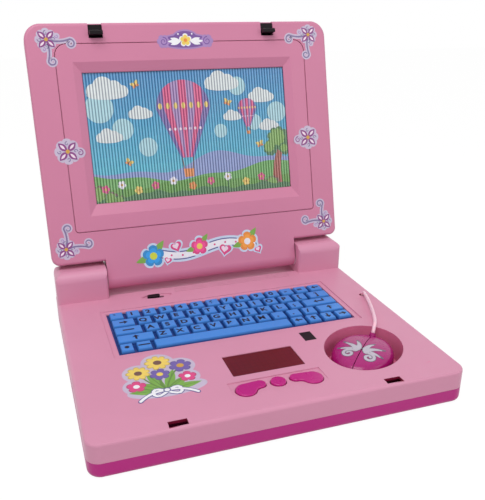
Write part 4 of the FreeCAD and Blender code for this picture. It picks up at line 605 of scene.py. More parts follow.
def bow(first, last, rise, steps=14):
    """Line from first to last, bowed sideways by rise."""
    (x0, y0), (x1, y1) = first, last
    length = math.hypot(x1 - x0, y1 - y0)
    line = []
    for i in range(steps + 1):
        share = i / steps
        side = 4 * rise * share * (1 - share) / length
        line.append((x0 + (x1 - x0) * share - (y1 - y0) * side, y0 + (y1 - y0) * share + (x1 - x0) * side))
    return line


# Printed films

INK = "ink"
FILM = 0.06
FILM_SINK = 0.02
LEVEL_STEP = 0.02
HAIRS = 16
HAIR = 0.001
STROKE_END_STEPS = 12


class Sticker:
    """Printed film: flat closed shapes on a surface, each level a little above the one below."""

    def __init__(self, name, place):
        self.name = name
        self.place = place
        self.mesh = bmesh.new()
        self.ink = self.mesh.loops.layers.float_color.new(INK)
        self.shapes = 0

    def height(self, level):
        """Top of the next shape: its level, and a hair more so that shapes don't share a plane."""
        self.shapes += 1
        return FILM + level * LEVEL_STEP + self.shapes % HAIRS * HAIR

    def prism(self, sections, colour):
        """Closed strip through sections of four points: low left, low right, high right, high left."""
        rings = [[self.mesh.verts.new(point) for point in section] for section in sections]
        faces = [self.mesh.faces.new(reversed(rings[0])), self.mesh.faces.new(rings[-1])]
        for ring, after in zip(rings, rings[1:]):
            for i in range(4):
                j = (i + 1) % 4
                faces.append(self.mesh.faces.new((ring[i], ring[j], after[j], after[i])))
        self.paint(faces, colour)

    def paint(self, faces, colour):
        for face in faces:
            for loop in face.loops:
                loop[self.ink] = linear(colour)

    def shape(self, outline, colour, level):
        height = self.height(level)
        low = [self.mesh.verts.new(self.place(x, y, -FILM_SINK)) for x, y in outline]
        high = [self.mesh.verts.new(self.place(x, y, height)) for x, y in outline]
        faces = [self.mesh.faces.new(high), self.mesh.faces.new(low[::-1])]
        for i in range(len(outline)):
            j = (i + 1) % len(outline)
            faces.append(self.mesh.faces.new((low[i], low[j], high[j], high[i])))
        self.paint(faces, colour)

    def stroke(self, line, width, colour, level, tip=1.0):
        """Band along a line, narrowing to tip times its width at the far end."""
        height = self.height(level)
        sections = []
        for i, (x, y) in enumerate(line):
            before, after = line[max(i - 1, 0)], line[min(i + 1, len(line) - 1)]
            along = math.hypot(after[0] - before[0], after[1] - before[1])
            half = width / 2 * (1 + (tip - 1) * i / (len(line) - 1))
            across = (-(after[1] - before[1]) / along * half, (after[0] - before[0]) / along * half)
            left = (x + across[0], y + across[1])
            right = (x - across[0], y - across[1])
            sections.append([self.place(*left, -FILM_SINK), self.place(*right, -FILM_SINK),
                             self.place(*right, height), self.place(*left, height)])
        self.prism(sections, colour)
        self.shape(disc(*line[0], width / 2, STROKE_END_STEPS), colour, level)
        self.shape(disc(*line[-1], width / 2 * tip, STROKE_END_STEPS), colour, level)

    def done(self, body, material):
        bmesh.ops.recalc_face_normals(self.mesh, faces=self.mesh.faces)
        piece = add_object(self.name, self.mesh, material)
        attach(piece, body)


# Surfaces that films lie on

def on_lid(x, height_up, rise):
    return LID @ Vector((x * MM, height_up * MM, (LID_FACE + rise) * MM))


def on_card(x, height_up, rise):
    return LID @ Vector((x * MM, height_up * MM, (CARD_FACE + rise) * MM))


def on_base(x, from_front, rise):
    return Vector((x * MM, BASE_FRONT + from_front * MM, BASE_TOP + rise * MM))


def on_keys(x, from_front, rise):
    return Vector((x * MM, BASE_FRONT + from_front * MM, KEYBOARD_TOP + rise * MM))


def on_mouse(x, y, rise):
    drop = MOUSE_CROWN - math.sqrt(MOUSE_CROWN ** 2 - x * x - y * y)
    return MOUSE @ Vector((x * MM, y * MM, MOUSE_TOP + (rise - drop) * MM))


# Flowers on the lid: name, place, side that the film reaches to, and whether it reaches upwards
CORNERS = [
    ("lid_flourish_top_left", -114.0, 201.0, 1, False),
    ("lid_flourish_top_right", 114.0, 201.6, -1, False),
    ("lid_flourish_low_left", -118.5, 32.5, 1, True),
    ("lid_flourish_low_right", 118.5, 32.5, -1, True),
]
SIDE_FLOWERS = [("lid_flower_left", -107.7, 112.5, 1), ("lid_flower_right", 107.7, 111.0, -1)]
CORNER_REACH = 8.8
CORNER_ARM_ALONG = 18.5
CORNER_ARM_UP = 17.0
ARM_FILM = 4.0
ARM_LINE = 1.5
BUD_ASIDE = 2.4
BUD_FILM = 2.5
BUD_CURL = 1.5
SIDE_REACH = 10.0
SIDE_FILM = 10.6
SIDE_CURL_AT = (10.0, -1.5)
SIDE_CURL_FILM = 4.2
SIDE_CURL = 2.6
SCROLL_LINE = 0.7


def four_petals(sticker, x, y, reach, level):
    """Four pointed petals on the slant, with pale hearts and a gold centre."""
    for quarter in range(4):
        turn = math.pi / 4 + quarter * math.pi / 2
        sticker.shape(leaf(x, y, reach, reach * 0.52, turn), PLUM, level)
        foot = away(x, y, turn, reach * 0.26)
        sticker.shape(leaf(*foot, reach * 0.56, reach * 0.2, turn), BLUSH, level + 1)
    sticker.shape(disc(x, y, reach * 0.17), GOLD, level + 2)


def four_scrolls(sticker, x, y, reach, radius, turns):
    for quarter in range(4):
        turn = quarter * math.pi / 2
        curl = spiral(*away(x, y, turn, reach), radius, turns, turn)
        sticker.stroke(curl, SCROLL_LINE, GREY_VIOLET, 2, 0.7)


def scroll_arm(sticker, x, y, length, turn, hand):
    """Stem that leaves a flower and curls up at its end, with a bud on its other side."""
    aside = turn + hand * math.pi / 2
    end = away(x, y, turn, length)
    curl = length * 0.19
    coil = spiral(*away(*end, aside, curl), curl, 0.95, aside + math.pi, hand, 0.4)
    line = bow((x, y), end, length * 0.09 * hand) + coil[1:]
    sticker.stroke(line, ARM_FILM, SILVER_LILAC, 0, 0.75)
    sticker.stroke(line, ARM_LINE, GREY_VIOLET, 2, 0.5)
    bud = away(*away(x, y, turn, length * 0.45), aside, -BUD_ASIDE)
    sticker.shape(disc(*bud, BUD_FILM), SILVER_LILAC, 0)
    sticker.stroke(spiral(*bud, BUD_CURL, 0.9, turn + math.pi, -hand), 0.6, LILAC, 3, 0.7)


def corner_flourish(name, x, y, side, upward, material):
    """Flower in a corner of the lid with an arm along each edge."""
    sticker = Sticker(name, on_lid)
    sticker.shape(blossom(x, y, CORNER_REACH, 8, 0.16), SILVER_LILAC, 1)
    four_scrolls(sticker, x, y, 5.0, 1.8, 0.9)
    along = 0.0 if side > 0 else math.pi
    rising = math.pi / 2 if upward else -math.pi / 2
    scroll_arm(sticker, x, y, CORNER_ARM_ALONG, along, side if upward else -side)
    scroll_arm(sticker, x, y, CORNER_ARM_UP, rising, -side if upward else side)
    four_petals(sticker, x, y, CORNER_REACH, 4)
    sticker.done("lid", material)


def side_flower(name, x, y, side, material):
    """Flower beside the screen with a curl towards it."""
    sticker = Sticker(name, on_lid)
    sticker.shape(blossom(x, y, SIDE_FILM, 8, 0.14), SILVER_LILAC, 0)
    curl = (x + side * SIDE_CURL_AT[0], y + SIDE_CURL_AT[1])
    sticker.shape(disc(*curl, SIDE_CURL_FILM), SILVER_LILAC, 0)
    sticker.stroke(spiral(*curl, SIDE_CURL, 1.1, math.pi / 2, -side), 0.9, PLUM, 2, 0.6)
    four_scrolls(sticker, x, y, 6.4, 1.7, 0.8)
    four_petals(sticker, x, y, SIDE_REACH, 3)
    sticker.done("lid", material)


# Badge over the screen: its ovals as half width, half height and rise, and its leaves as turn and length
PLAQUE_AT = (0.0, 197.8)
PLAQUE_OVALS = [(21.5, 5.3, 0.0), (11.0, 6.8, 1.5)]
PLAQUE_RIM = 1.3
PLAQUE_END = 19.0
PLAQUE_LEAVES = [(0.28, 9.6), (-0.28, 9.6), (0.0, 11.8)]
PLAQUE_LEAF_FOOT = 3.9
PLAQUE_FLOWER_RISE = 0.8
PLAQUE_PEARL_AT = (6.0, 5.9)


def plaque(material):
    """Small badge over the screen: a purple cartouche with scrolls, leaves and a flower."""
    x, y = PLAQUE_AT
    sticker = Sticker("lid_plaque", on_lid)
    for half_x, half_y, rise in PLAQUE_OVALS:
        sticker.shape(oval(x, y + rise, half_x + PLAQUE_RIM, half_y + PLAQUE_RIM), LILAC, 0)
        sticker.shape(oval(x, y + rise, half_x, half_y), PURPLE, 1)
    for side in (1, -1):
        end = (x + side * PLAQUE_END, y)
        sticker.shape(blossom(*end, 5.6, 6, 0.2), LILAC, 1)
        sticker.stroke(spiral(*end, 3.5, 1.3, math.pi / 2, side), 0.9, PURPLE, 3, 0.6)
        for turn, length in PLAQUE_LEAVES:
            aim = turn if side > 0 else math.pi - turn
            sticker.shape(leaf(x + side * PLAQUE_LEAF_FOOT, y, length, 3.0, aim), PAPER, 3)
    flower = (x, y + PLAQUE_FLOWER_RISE)
    sticker.shape(blossom(*flower, 5.6, 5, 0.4, math.pi / 2), PAPER, 4)
    sticker.shape(blossom(*flower, 4.5, 5, 0.4, math.pi / 2), YELLOW, 5)
    sticker.shape(disc(*flower, 1.5), ORANGE, 6)
    for side in (1, -1):
        sticker.shape(disc(x + side * PLAQUE_PEARL_AT[0], y + PLAQUE_PEARL_AT[1], 0.7), PAPER, 4)
    sticker.done("lid", material)


# Ribbon under the screen: flowers as place, radius and colours, hearts as place, size and turn
GARLAND_Y = 20.0
GARLAND_HALF = 46
GARLAND_SWELL = 3.6
GARLAND_WAVE = 13.0
GARLAND_FLOWERS = [
    (-46.0, 18.5, 9.6, BLOSSOM_BLUE, LIME),
    (-4.0, 22.5, 7.8, HOT_PINK, YELLOW),
    (41.0, 22.0, 8.8, ORANGE, PAPER),
]
GARLAND_HEARTS = [
    (-25.0, 24.5, 5.0, 0.3),
    (19.5, 17.0, 5.6, -0.25),
    (51.0, 13.6, 3.4, 0.4),
    (-33.5, 13.2, 3.2, -0.3),
]
FLOWER_FILM = 1.8
HEART_FILM = 1.6


def garland(material):
    """Ornament under the screen: a waving ribbon with flowers, hearts and leaves."""
    sticker = Sticker("lid_garland", on_lid)
    wave = [(x, GARLAND_Y + GARLAND_SWELL * math.sin(x / GARLAND_WAVE))
            for x in range(-GARLAND_HALF, GARLAND_HALF + 1, 2)]
    for width, colour, level in ((11.5, PALE_BLUE, 0), (7.6, NAVY, 1), (5.6, PAPER, 2)):
        sticker.stroke(wave, width, colour, level)
    for x, y in wave[3:-2:5]:
        sticker.shape(disc(x, y, 0.9), HOT_PINK, 3)
    for x, y, radius, petals, centre in GARLAND_FLOWERS:
        sticker.shape(blossom(x, y, radius + FLOWER_FILM, 5, 0.3, 0.3), PALE_BLUE, 1)
        for turn in (0.9, 3.4):
            sticker.shape(leaf(x, y, radius * 1.7, radius * 0.62, turn), LEAF_GREEN, 3)
        sticker.shape(blossom(x, y, radius, 5, 0.36, 0.3), petals, 4)
        sticker.shape(blossom(x, y, radius * 0.72, 5, 0.36, 0.3), scaled(petals, 1.16), 5)
        sticker.shape(disc(x, y, radius * 0.34), centre, 6)
    for x, y, size, turn in GARLAND_HEARTS:
        sticker.shape(heart(x, y, size + HEART_FILM, turn), PALE_BLUE, 1)
        sticker.shape(heart(x, y, size, turn), HOT_PINK, 4)
        sticker.shape(heart(x - size * 0.1, y + size * 0.1, size * 0.58, turn), BLUSH, 5)
    sticker.done("lid", material)


# Bunch on the base: blooms as place, radius, colours and petals, leaves as turn and length
BOUQUET_KNOT = (-73.0, 42.2)
BOUQUET_FOOT = (-72.0, 44.2)
BOUQUET_BLOOMS = [
    (-72.0, 78.2, 9.4, YELLOW, BROWN, 9),
    (-87.5, 68.2, 8.6, YELLOW, BROWN, 9),
    (-57.5, 69.7, 8.2, VIOLET, GOLD, 6),
    (-73.5, 62.7, 7.2, VIOLET, YELLOW, 6),
    (-91.5, 52.2, 6.8, HOT_PINK, PAPER, 5),
    (-56.0, 54.7, 6.4, HOT_PINK, PAPER, 5),
]
BOUQUET_LEAVES = [(0.15, 25.0), (0.65, 22.0), (2.5, 22.0), (3.0, 25.0), (1.2, 26.0), (1.95, 26.0)]
BLOOM_FILM = 2.4
RIBBON_LOOP = (9.5, 4.0)
RIBBON_DROP = 1.5
RIBBON_TAIL = (19.0, -8.0)
RIBBON_STEPS = 10


def bouquet(material):
    """Bunch of flowers tied with a ribbon, on the base beside the display."""
    sticker = Sticker("base_bouquet", on_base)
    knot = BOUQUET_KNOT
    for x, y, radius, *_ in BOUQUET_BLOOMS:
        sticker.shape(disc(x, y, radius + BLOOM_FILM), SILVER_LILAC, 0)
        sticker.stroke([knot, (x, y)], 6.0, SILVER_LILAC, 0)
    sticker.shape(oval(*BOUQUET_FOOT, 27.0, 9.5), SILVER_LILAC, 0)
    for turn, length in BOUQUET_LEAVES:
        sticker.shape(leaf(*knot, length, 7.0, turn), LEAF_GREEN, 1)
        rib = [knot, away(*knot, turn, length * 0.9)]
        sticker.stroke(rib, 0.7, scaled(LEAF_GREEN, 0.7), 2, 0.4)
    for x, y, radius, petals, centre, count in BOUQUET_BLOOMS:
        sticker.stroke(bow(knot, (x, y), 2.0), 1.2, scaled(LEAF_GREEN, 0.8), 2)
        sticker.shape(blossom(x, y, radius, count, 0.34, 0.2), scaled(petals, 0.82), 4)
        sticker.shape(blossom(x, y, radius * 0.9, count, 0.34, 0.2), petals, 5)
        sticker.shape(disc(x, y, radius * 0.32), centre, 6)
    for side in (1, -1):
        loop = []
        for step in range(RIBBON_STEPS + 1):
            turn = math.pi * step / RIBBON_STEPS
            loop.append((knot[0] + side * RIBBON_LOOP[0] * math.sin(turn),
                         knot[1] - RIBBON_DROP + RIBBON_LOOP[1] * math.sin(2 * turn)))
        tail = bow(knot, (knot[0] + side * RIBBON_TAIL[0], knot[1] + RIBBON_TAIL[1]), side * 2.5)
        for line in (loop, tail):
            sticker.stroke(line, 3.4, NAVY, 7)
            sticker.stroke(line, 2.2, PAPER, 8)
    sticker.shape(disc(*knot, 2.6), NAVY, 9)
    sticker.shape(disc(*knot, 1.8), PAPER, 10)
    sticker.done("base", material)


# Spray on the mouse: feathers as length and width, and their turns in degrees
SPRAY_FEATHERS = [(11.5, 5.4), (14.0, 6.0), (12.5, 5.4)]
SPRAY_FIRST_TURN = 70
SPRAY_TURN_STEP = 38
SPRAY_FOOT = (MOUSE_SEAM + 2.3, -4.0)
SPRAY_FOOT_STEP = (0.7, -1.6)
SPRAY_CURL_AT = (7.6, -12.6)
SPRAY_BOW = 1.0


def mouse_motif(name, body, side, material):
    """Half of a silver spray on the mouse's top, clear of the seam between its halves."""
    sticker = Sticker(name, on_mouse)
    for step, (length, width) in enumerate(SPRAY_FEATHERS):
        turn = math.radians(SPRAY_FIRST_TURN - SPRAY_TURN_STEP * step)
        aim = turn if side > 0 else math.pi - turn
        foot = (side * (SPRAY_FOOT[0] + step * SPRAY_FOOT_STEP[0]), SPRAY_FOOT[1] + step * SPRAY_FOOT_STEP[1])
        for size, colour, level in ((1.0, SLATE, 0), (0.82, SILVER, 1)):
            feather = bow(foot, away(*foot, aim, length * size), side * SPRAY_BOW)
            sticker.stroke(feather, width * size, colour, level, 0.3)
    curl = spiral(side * SPRAY_CURL_AT[0], SPRAY_CURL_AT[1], 4.4, 1.2, math.pi / 2, -side)
    sticker.stroke(curl, 3.4, SLATE, 0, 0.8)
    sticker.stroke(curl, 2.3, SILVER, 1, 0.8)
    sticker.stroke(bow((side * 2.6, -5.6), (side * 6.6, -8.4), side * 0.6), 1.9, SILVER, 1)
    sticker.done(body, material)


# Picture behind the ribbed sheet: places and sizes of what is in it, and ridges as height and swells
PICTURE_HALF = 90.5
PICTURE_FOOT = 66.0
PICTURE_HEAD = 176.6
SKY_BANDS = 14
RIDGE_STEPS = 48
FAR_RIDGE = (96.0, ((7.0, 26.0, 8.0), (3.0, 11.0, 0.0)))
NEAR_RIDGE = (88.0, ((5.0, 34.0, -40.0), (1.5, 9.0, 5.0)))
GRASS_RIDGE = (80.0, ((2.5, 20.0, 30.0), (1.0, 6.0, 0.0)))
VERGE_RIDGE = (73.0, ((1.2, 8.0, 3.0), (1.0, 3.1, 0.0)))
CLOUDS = [(-70.0, 160.0, 10.0), (-44.0, 140.0, 6.0), (30.0, 163.0, 9.0), (66.0, 150.0, 7.0),
          (72.0, 124.0, 5.5), (38.0, 134.0, 5.0), (-72.0, 122.0, 6.5)]
CLOUD_PUFFS = [(-1.1, 0.0, 0.62), (-0.3, 0.32, 0.86), (0.6, 0.12, 0.72), (1.3, -0.06, 0.48)]
HAZES = [(-78.0, 146.0, 12.0), (-60.0, 128.0, 9.0), (44.0, 160.0, 8.0), (58.0, 128.0, 7.0),
         (26.0, 122.0, 6.0), (80.0, 136.0, 9.0), (-40.0, 112.0, 8.0)]
BUTTERFLIES = [(-46.0, 164.0, 0.5), (34.0, 146.0, -0.4), (-58.0, 100.0, -0.6), (62.0, 108.0, 0.3)]
BALLOONS = [(-6.0, 143.0, 24.0), (52.0, 140.0, 9.0)]
BALLOON_GORES = [VIOLET, HOT_PINK, LILAC, HOT_PINK, LILAC, HOT_PINK, VIOLET]
TREE_FOOT = (78.0, 68.0)
TREE_FORK = (82.0, 104.0)
TREE_TOPS = [(80.0, 112.0, 11.0), (72.0, 104.0, 7.0), (86.0, 102.0, 5.0)]
BUSHES = [(-86.0, 74.0, 9.0), (-76.0, 70.0, 7.0), (-68.0, 68.0, 5.0), (64.0, 70.0, 6.0), (72.0, 72.0, 7.0)]
MEADOW_FLOWERS = [(-80.0, HOT_PINK), (-66.0, PAPER), (-52.0, YELLOW), (-37.0, HOT_PINK), (-21.0, PAPER),
                  (-4.0, ORANGE), (13.0, HOT_PINK), (29.0, PAPER), (46.0, YELLOW), (61.0, HOT_PINK)]
MEADOW_FOOT = 70.0
MEADOW_HEAD = 79.0


def ridge(base, swells):
    """Outline of a hill across the picture; swells are height, wave length and shift."""
    xs = [-PICTURE_HALF + i * 2 * PICTURE_HALF / RIDGE_STEPS for i in range(RIDGE_STEPS + 1)]
    top = [(x, base + sum(h * math.sin((x + shift) / wave) for h, wave, shift in swells)) for x in xs]
    return [(-PICTURE_HALF, PICTURE_FOOT), (PICTURE_HALF, PICTURE_FOOT)] + top[::-1]


def blend_colour(first, second, share):
    return tuple(a + (b - a) * share for a, b in zip(first, second))


def balloon(picture, x, y, radius, level):
    """Striped balloon with a row of ovals, a row of dots and a basket."""
    foot = y - radius * 1.75
    basket = foot - radius * 0.4
    for index, colour in enumerate(BALLOON_GORES):
        left = -1 + 2 * index / len(BALLOON_GORES)
        right = -1 + 2 * (index + 1) / len(BALLOON_GORES)
        crown = [(math.asin(left) + (math.asin(right) - math.asin(left)) * i / 6) for i in range(7)]
        arc = [(x + radius * math.sin(a), y + radius * math.cos(a)) for a in crown]
        waist = [(x + right * radius, y), (x + right * radius * 0.24, foot), (x + left * radius * 0.24, foot),
                 (x + left * radius, y)]
        picture.shape((arc + waist)[::-1], colour, level)
        middle = (left + right) / 2 * radius
        picture.shape(oval(x + middle, y + radius * 0.1, radius * 0.07, radius * 0.11), YELLOW, level + 1)
        picture.shape(disc(x + middle * 0.66, y - radius * 0.72, radius * 0.05), BLUSH, level + 1)
    for side in (1, -1):
        rope = [(x + side * radius * 0.22, foot), (x + side * radius * 0.16, basket)]
        picture.stroke(rope, 0.9, BROWN, level)
    picture.shape([(x - radius * 0.17, basket - radius * 0.3), (x + radius * 0.17, basket - radius * 0.3),
                   (x + radius * 0.2, basket), (x - radius * 0.2, basket)], ORANGE, level)


def cloud(picture, x, y, size, level):
    for dx, dy, share in CLOUD_PUFFS:
        picture.shape(disc(x + dx * size, y + dy * size, size * share), CLOUD, level)
    picture.shape(oval(x, y - size * 0.3, size * 1.7, size * 0.42), CLOUD, level)


def butterfly(picture, x, y, turn, level):
    """Four wings on a short body."""
    for side, length in ((0.7, 4.6), (-0.5, 3.4)):
        for mirror in (1, -1):
            aim = turn + math.pi / 2 - mirror * (math.pi / 2 - side)
            picture.shape(leaf(x, y, length, length * 0.62, aim), YELLOW if side > 0 else ORANGE, level)
    picture.stroke(turned([(0.0, -1.6), (0.0, 1.6)], x, y, turn), 0.7, BROWN, level + 1)


def bush(picture, x, y, radius, depth, colour, light, level):
    """Round clump with a lighter one on it, which has its own shift and share of the radius."""
    shift_x, shift_y, share = light
    picture.shape(blossom(x, y, radius, 9, depth), colour, level)
    picture.shape(blossom(x + shift_x, y + shift_y, radius * share, 9, depth), LEAF_GREEN, level + 1)


def screen_picture(material):
    """Landscape: sky, clouds, balloons, hills, a tree, and grass with flowers."""
    picture = Sticker("screen_picture", on_card)
    for band in range(SKY_BANDS):
        share = band / (SKY_BANDS - 1)
        head = PICTURE_HEAD - (PICTURE_HEAD - PICTURE_FOOT) * band / SKY_BANDS
        rectangle = [(-PICTURE_HALF, PICTURE_FOOT), (PICTURE_HALF, PICTURE_FOOT), (PICTURE_HALF, head),
                     (-PICTURE_HALF, head)]
        picture.shape(rectangle, blend_colour(SKY_HIGH, SKY_LOW, share), band)
    level = SKY_BANDS
    for x, y, size in HAZES:
        picture.shape(disc(x, y, size), HAZE_PALE, level)
    level += 1
    for x, y, size in CLOUDS:
        cloud(picture, x, y, size, level)
    for x, y, turn in BUTTERFLIES:
        butterfly(picture, x, y, turn, level + 1)
    picture.shape(ridge(*FAR_RIDGE), HILL_FAR, level + 1)
    picture.shape(ridge(*NEAR_RIDGE), HILL_NEAR, level + 2)
    for x, y, radius in BALLOONS:
        balloon(picture, x, y, radius, level + 3)
    picture.shape(ridge(*GRASS_RIDGE), GRASS, level + 5)
    picture.stroke(bow(TREE_FOOT, TREE_FORK, 3.0), 9.0, TRUNK, level + 6, 0.6)
    for x, y, radius in TREE_TOPS:
        bush(picture, x, y, radius, 0.2, GRASS_DARK, (-1.2, 1.4, 0.72), level + 7)
    for x, y, radius in BUSHES:
        bush(picture, x, y, radius, 0.24, BUSH_BROWN, (-0.8, 1.2, 0.7), level + 7)
    picture.shape(ridge(*VERGE_RIDGE), GRASS_DARK, level + 8)
    for index, (x, colour) in enumerate(MEADOW_FLOWERS):
        y = MEADOW_HEAD + 3.2 * math.sin(index * 2.1)
        picture.stroke([(x, MEADOW_FOOT), (x, y)], 0.9, GRASS_DARK, level + 9)
        picture.shape(blossom(x, y, 3.6, 5, 0.36, index), colour, level + 10)
        picture.shape(disc(x, y, 1.1), GOLD, level + 11)
    picture.done("lid", material)


# Key legends: rows from the back, each with its keys' widths in pitches and their legends
KEY_PITCH = 13.5
KEY_ROWS_BACK = 166.7
KEYS_LEFT = -94.5
KEY_ROWS = [
    ([1.0] * 14, list("`1234567890-=") + ["left"]),
    ([1.5] + [1.0] * 11 + [1.5], ["right"] + list("QWERTYUIOP[") + ["]"]),
    ([1.75] + [1.0] * 10 + [2.25], ["bar"] + list("ASDFGHJKL;") + ["return"]),
    ([2.25] + [1.0] * 10 + [1.75], ["up"] + list("ZXCVBNM,./") + ["up"]),
    ([0.9, 1.0, 8.25, 0.95, 0.95, 0.95, 1.0], ["dot", "bar", None, "left", "up", "down", "right"]),
]
LEGEND_SIZE = 7.8
LEGEND_BOLD = 0.3
LEGEND_SHIFT = (-1.4, -0.6)
ARROWS = {"right": 0.0, "up": math.pi / 2, "left": math.pi, "down": -math.pi / 2}
ARROW_HEAD = [(3.4, 0.0), (0.4, 2.7), (0.4, -2.7)]
ARROW_SHAFT = [(0.4, 0.8), (-3.2, 0.8), (-3.2, -0.8), (0.4, -0.8)]
RETURN_SHAFT = [(-1.7, -0.8), (4.8, -0.8), (4.8, 3.6), (3.2, 3.6), (3.2, 0.8), (-1.7, 0.8)]
RETURN_SHIFT = 1.5
BAR_HALF = 3.8
BAR_WIDTH = 1.7
DOT_RADIUS = 1.8
DOT_STEPS = 16


def key_sign(signs, sign, x, y):
    """Plain sign on a key: an arrow, a bent arrow, a bar or a dot."""
    if sign in ARROWS:
        for outline in (ARROW_HEAD, ARROW_SHAFT):
            signs.shape(turned(outline, x, y, ARROWS[sign]), LEGEND_INK, 0)
    elif sign == "return":
        signs.shape(turned(ARROW_HEAD, x - RETURN_SHIFT, y, math.pi), LEGEND_INK, 0)
        signs.shape(turned(RETURN_SHAFT, x, y, 0.0), LEGEND_INK, 0)
    elif sign == "bar":
        signs.stroke([(x - BAR_HALF, y), (x + BAR_HALF, y)], BAR_WIDTH, LEGEND_INK, 0)
    else:
        signs.shape(disc(x, y, DOT_RADIUS, DOT_STEPS), LEGEND_INK, 0)


def letter_mesh(letter):
    curve = bpy.data.curves.new("letter", "FONT")
    curve.body = letter
    curve.size = LEGEND_SIZE * MM
    curve.extrude = FILM / 2 * MM
    curve.offset = LEGEND_BOLD * MM
    curve.align_x = "CENTER"
    curve.align_y = "CENTER"
    return mesh_of(curve)


def key_legends(material):
    """Letters as one piece and signs as another, both on the keyboard."""
    letters = bmesh.new()
    signs = Sticker("key_signs", on_keys)
    for row, (widths, legends) in enumerate(KEY_ROWS):
        y = KEY_ROWS_BACK - (row + 0.5) * KEY_PITCH
        left = KEYS_LEFT
        for width, legend in zip(widths, legends):
            x = left + width * KEY_PITCH / 2
            left += width * KEY_PITCH
            if legend is None:
                continue
            if len(legend) > 1:
                key_sign(signs, legend, x, y)
                continue
            data = letter_mesh(legend)
            data.transform(Matrix.Translation(on_keys(x + LEGEND_SHIFT[0], y + LEGEND_SHIFT[1], FILM / 2)))
            letters.from_mesh(data)
            bpy.data.meshes.remove(data)
    piece = add_object("key_letters", letters, material)
    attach(piece, "keyboard")
    signs.done("keyboard", material)


# Mouse cord: points of its route as x, distance from the base's front, and height
CORD_DIAMETER = 2.8
CORD_SIDES = 20
CORD_STEPS = 10
CORD_ROUTE = [
    (121.5, 133.7, 23.0),
    (121.5, 133.7, 26.8),
    (120.6, 130.6, 29.8),
    (118.4, 123.2, 30.6),
    (114.2, 109.2, 30.6),
    (109.6, 96.2, 30.4),
    (104.6, 84.2, 30.4),
    (101.2, 77.0, 30.2),
    (97.49, 72.09, 28.2),
    (96.17, 70.77, 24.66),
]


def cord_line():
    """Points along the smooth line that the cord's route controls."""
    curve = bpy.data.curves.new("cord_line", "CURVE")
    curve.dimensions = "3D"
    curve.resolution_u = CORD_STEPS
    spline = curve.splines.new("NURBS")
    spline.points.add(len(CORD_ROUTE) - 1)
    for point, (x, from_front, z) in zip(spline.points, CORD_ROUTE):
        point.co = (x * MM, BASE_FRONT + from_front * MM, z * MM, 1.0)
    spline.order_u = 3
    spline.use_endpoint_u = True
    data = mesh_of(curve)
    line = [vertex.co.copy() for vertex in data.vertices]
    bpy.data.meshes.remove(data)
    return line


def mouse_cord(material):
    """Tube along the cord's line."""
    line = cord_line()
    tube = bmesh.new()
    rings = []
    reach = CORD_DIAMETER / 2 * MM
    side = Vector((1, 0, 0))
    for i, point in enumerate(line):
        along = (line[min(i + 1, len(line) - 1)] - line[max(i - 1, 0)]).normalized()
        side = (side - along * side.dot(along)).normalized()
        other = along.cross(side)
        ring = []
        for step in range(CORD_SIDES):
            turn = 2 * math.pi * step / CORD_SIDES
            ring.append(tube.verts.new(point + (side * math.cos(turn) + other * math.sin(turn)) * reach))
        rings.append(ring)
    for ring, after in zip(rings, rings[1:]):
        for i in range(CORD_SIDES):
            j = (i + 1) % CORD_SIDES
            tube.faces.new((ring[i], ring[j], after[j], after[i])).smooth = True
    tube.faces.new(reversed(rings[0]))
    tube.faces.new(rings[-1])
    piece = add_object("mouse_cord_sheath", tube, material)
    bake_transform(piece)
    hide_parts("mouse_cord")


# Stage, light and camera, in metres, watts and degrees; the lens and its sensor are in millimetres
FLOOR_SIZE = 6.0
FLOOR_GREY = (0.7, 0.7, 0.7, 1)
FLOOR_GLOW = 1.06
FLOOR_GLOW_SHARE = 0.9
WORLD_WHITE = (1, 1, 1, 1)
WORLD_LIGHT = 0.5
LAMP_SIZE = 0.9
LAMP_AIM = (0, 0, 0.08)
KEY_LAMP = (-0.35, -0.45, 1.25)
KEY_POWER = 8.8
FILL_LAMP = (0.9, -0.9, 0.7)
FILL_POWER = 2.4
CAMERA_AT = (-0.1448, -0.4271, 0.2622)
CAMERA_AZIMUTH = -19.08
CAMERA_ELEVATION = 23.13
CAMERA_ROLL = 0.16
CAMERA_LENS = 46.47
CAMERA_SENSOR = 36.0
CAMERA_SHIFT = (0.0019, 0.0499)
CAMERA_NEAR = 0.01


def seen_directly(tree):
    """1 for rays from the camera, from a mirror or through glass."""
    rays = add(tree, "ShaderNodeLightPath", {})
    return largest(tree, [rays[name] for name in ("Is Camera Ray", "Is Glossy Ray", "Is Transmission Ray")])


def make_world():
    world = bpy.data.worlds.new("studio")
    bpy.context.scene.world = world
    world.use_nodes = True
    tree = world.node_tree
    strength = remap(tree, seen_directly(tree), 0.0, 1.0, WORLD_LIGHT, 1.0)
    feed(tree, tree.nodes["Background"], {"Color": WORLD_WHITE, "Strength": strength})


def make_floor():
    """Pale floor that takes the object's shadow and looks nearly white."""
    mesh = bmesh.new()
    bmesh.ops.create_grid(mesh, x_segments=1, y_segments=1, size=FLOOR_SIZE / 2)
    material, tree, shader = new_material("floor")
    feed(tree, shader, {"Base Color": FLOOR_GREY, "Roughness": 0.9, "Specular IOR Level": 0.1})
    glow = add(tree, "ShaderNodeEmission", {"Strength": FLOOR_GLOW})[0]
    share = remap(tree, seen_directly(tree), 0.0, 1.0, 0.0, FLOOR_GLOW_SHARE)
    surface = add(tree, "ShaderNodeMixShader", {0: share, 1: shader.outputs[0], 2: glow})[0]
    feed(tree, tree.nodes["Material Output"], {"Surface": surface})
    floor = add_object("floor", mesh, material)


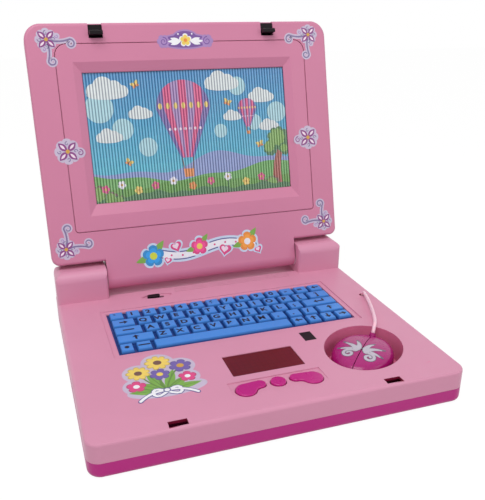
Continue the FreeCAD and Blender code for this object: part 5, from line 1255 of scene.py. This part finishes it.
def make_lamp(name, place, power):
    light = bpy.data.lights.new(name, "AREA")
    light.shape = "DISK"
    light.size = LAMP_SIZE
    light.energy = power
    lamp = bpy.data.objects.new(name, light)
    lamp.location = place
    aim = Vector(LAMP_AIM) - Vector(place)
    lamp.rotation_euler = aim.to_track_quat("-Z", "Y").to_euler()
    bpy.context.scene.collection.objects.link(lamp)


def make_camera():
    azimuth, elevation, roll = (math.radians(a) for a in (CAMERA_AZIMUTH, CAMERA_ELEVATION, CAMERA_ROLL))
    back = Vector((math.sin(azimuth) * math.cos(elevation), -math.cos(azimuth) * math.cos(elevation),
                   math.sin(elevation)))
    right = Vector((math.cos(azimuth), math.sin(azimuth), 0))
    up = back.cross(right)
    rolled_right = right * math.cos(roll) + up * math.sin(roll)
    rolled_up = up * math.cos(roll) - right * math.sin(roll)
    data = bpy.data.cameras.new("camera")
    data.sensor_width = CAMERA_SENSOR
    data.lens = CAMERA_LENS
    data.shift_x, data.shift_y = CAMERA_SHIFT
    data.clip_start = CAMERA_NEAR
    camera = bpy.data.objects.new("camera", data)
    turn = Matrix((rolled_right, rolled_up, back)).transposed().to_4x4()
    camera.matrix_world = Matrix.Translation(CAMERA_AT) @ turn
    bpy.context.scene.collection.objects.link(camera)
    bpy.context.scene.camera = camera


def main():
    bpy.context.scene.view_settings.view_transform = "Standard"
    make_camera()
    materials = make_materials()
    mouse_cord(materials["cord"])
    finish_nodes(materials)
    for corner in CORNERS:
        corner_flourish(*corner, materials["sticker"])
    for flower in SIDE_FLOWERS:
        side_flower(*flower, materials["sticker"])
    plaque(materials["sticker"])
    garland(materials["sticker"])
    bouquet(materials["sticker"])
    mouse_motif("mouse_motif_left", "mouse_left_button", -1, materials["sticker"])
    mouse_motif("mouse_motif_right", "mouse_right_button", 1, materials["sticker"])
    screen_picture(materials["picture"])
    key_legends(materials["legend"])
    make_world()
    make_floor()
    make_lamp("key_lamp", KEY_LAMP, KEY_POWER)
    make_lamp("fill_lamp", FILL_LAMP, FILL_POWER)


main()
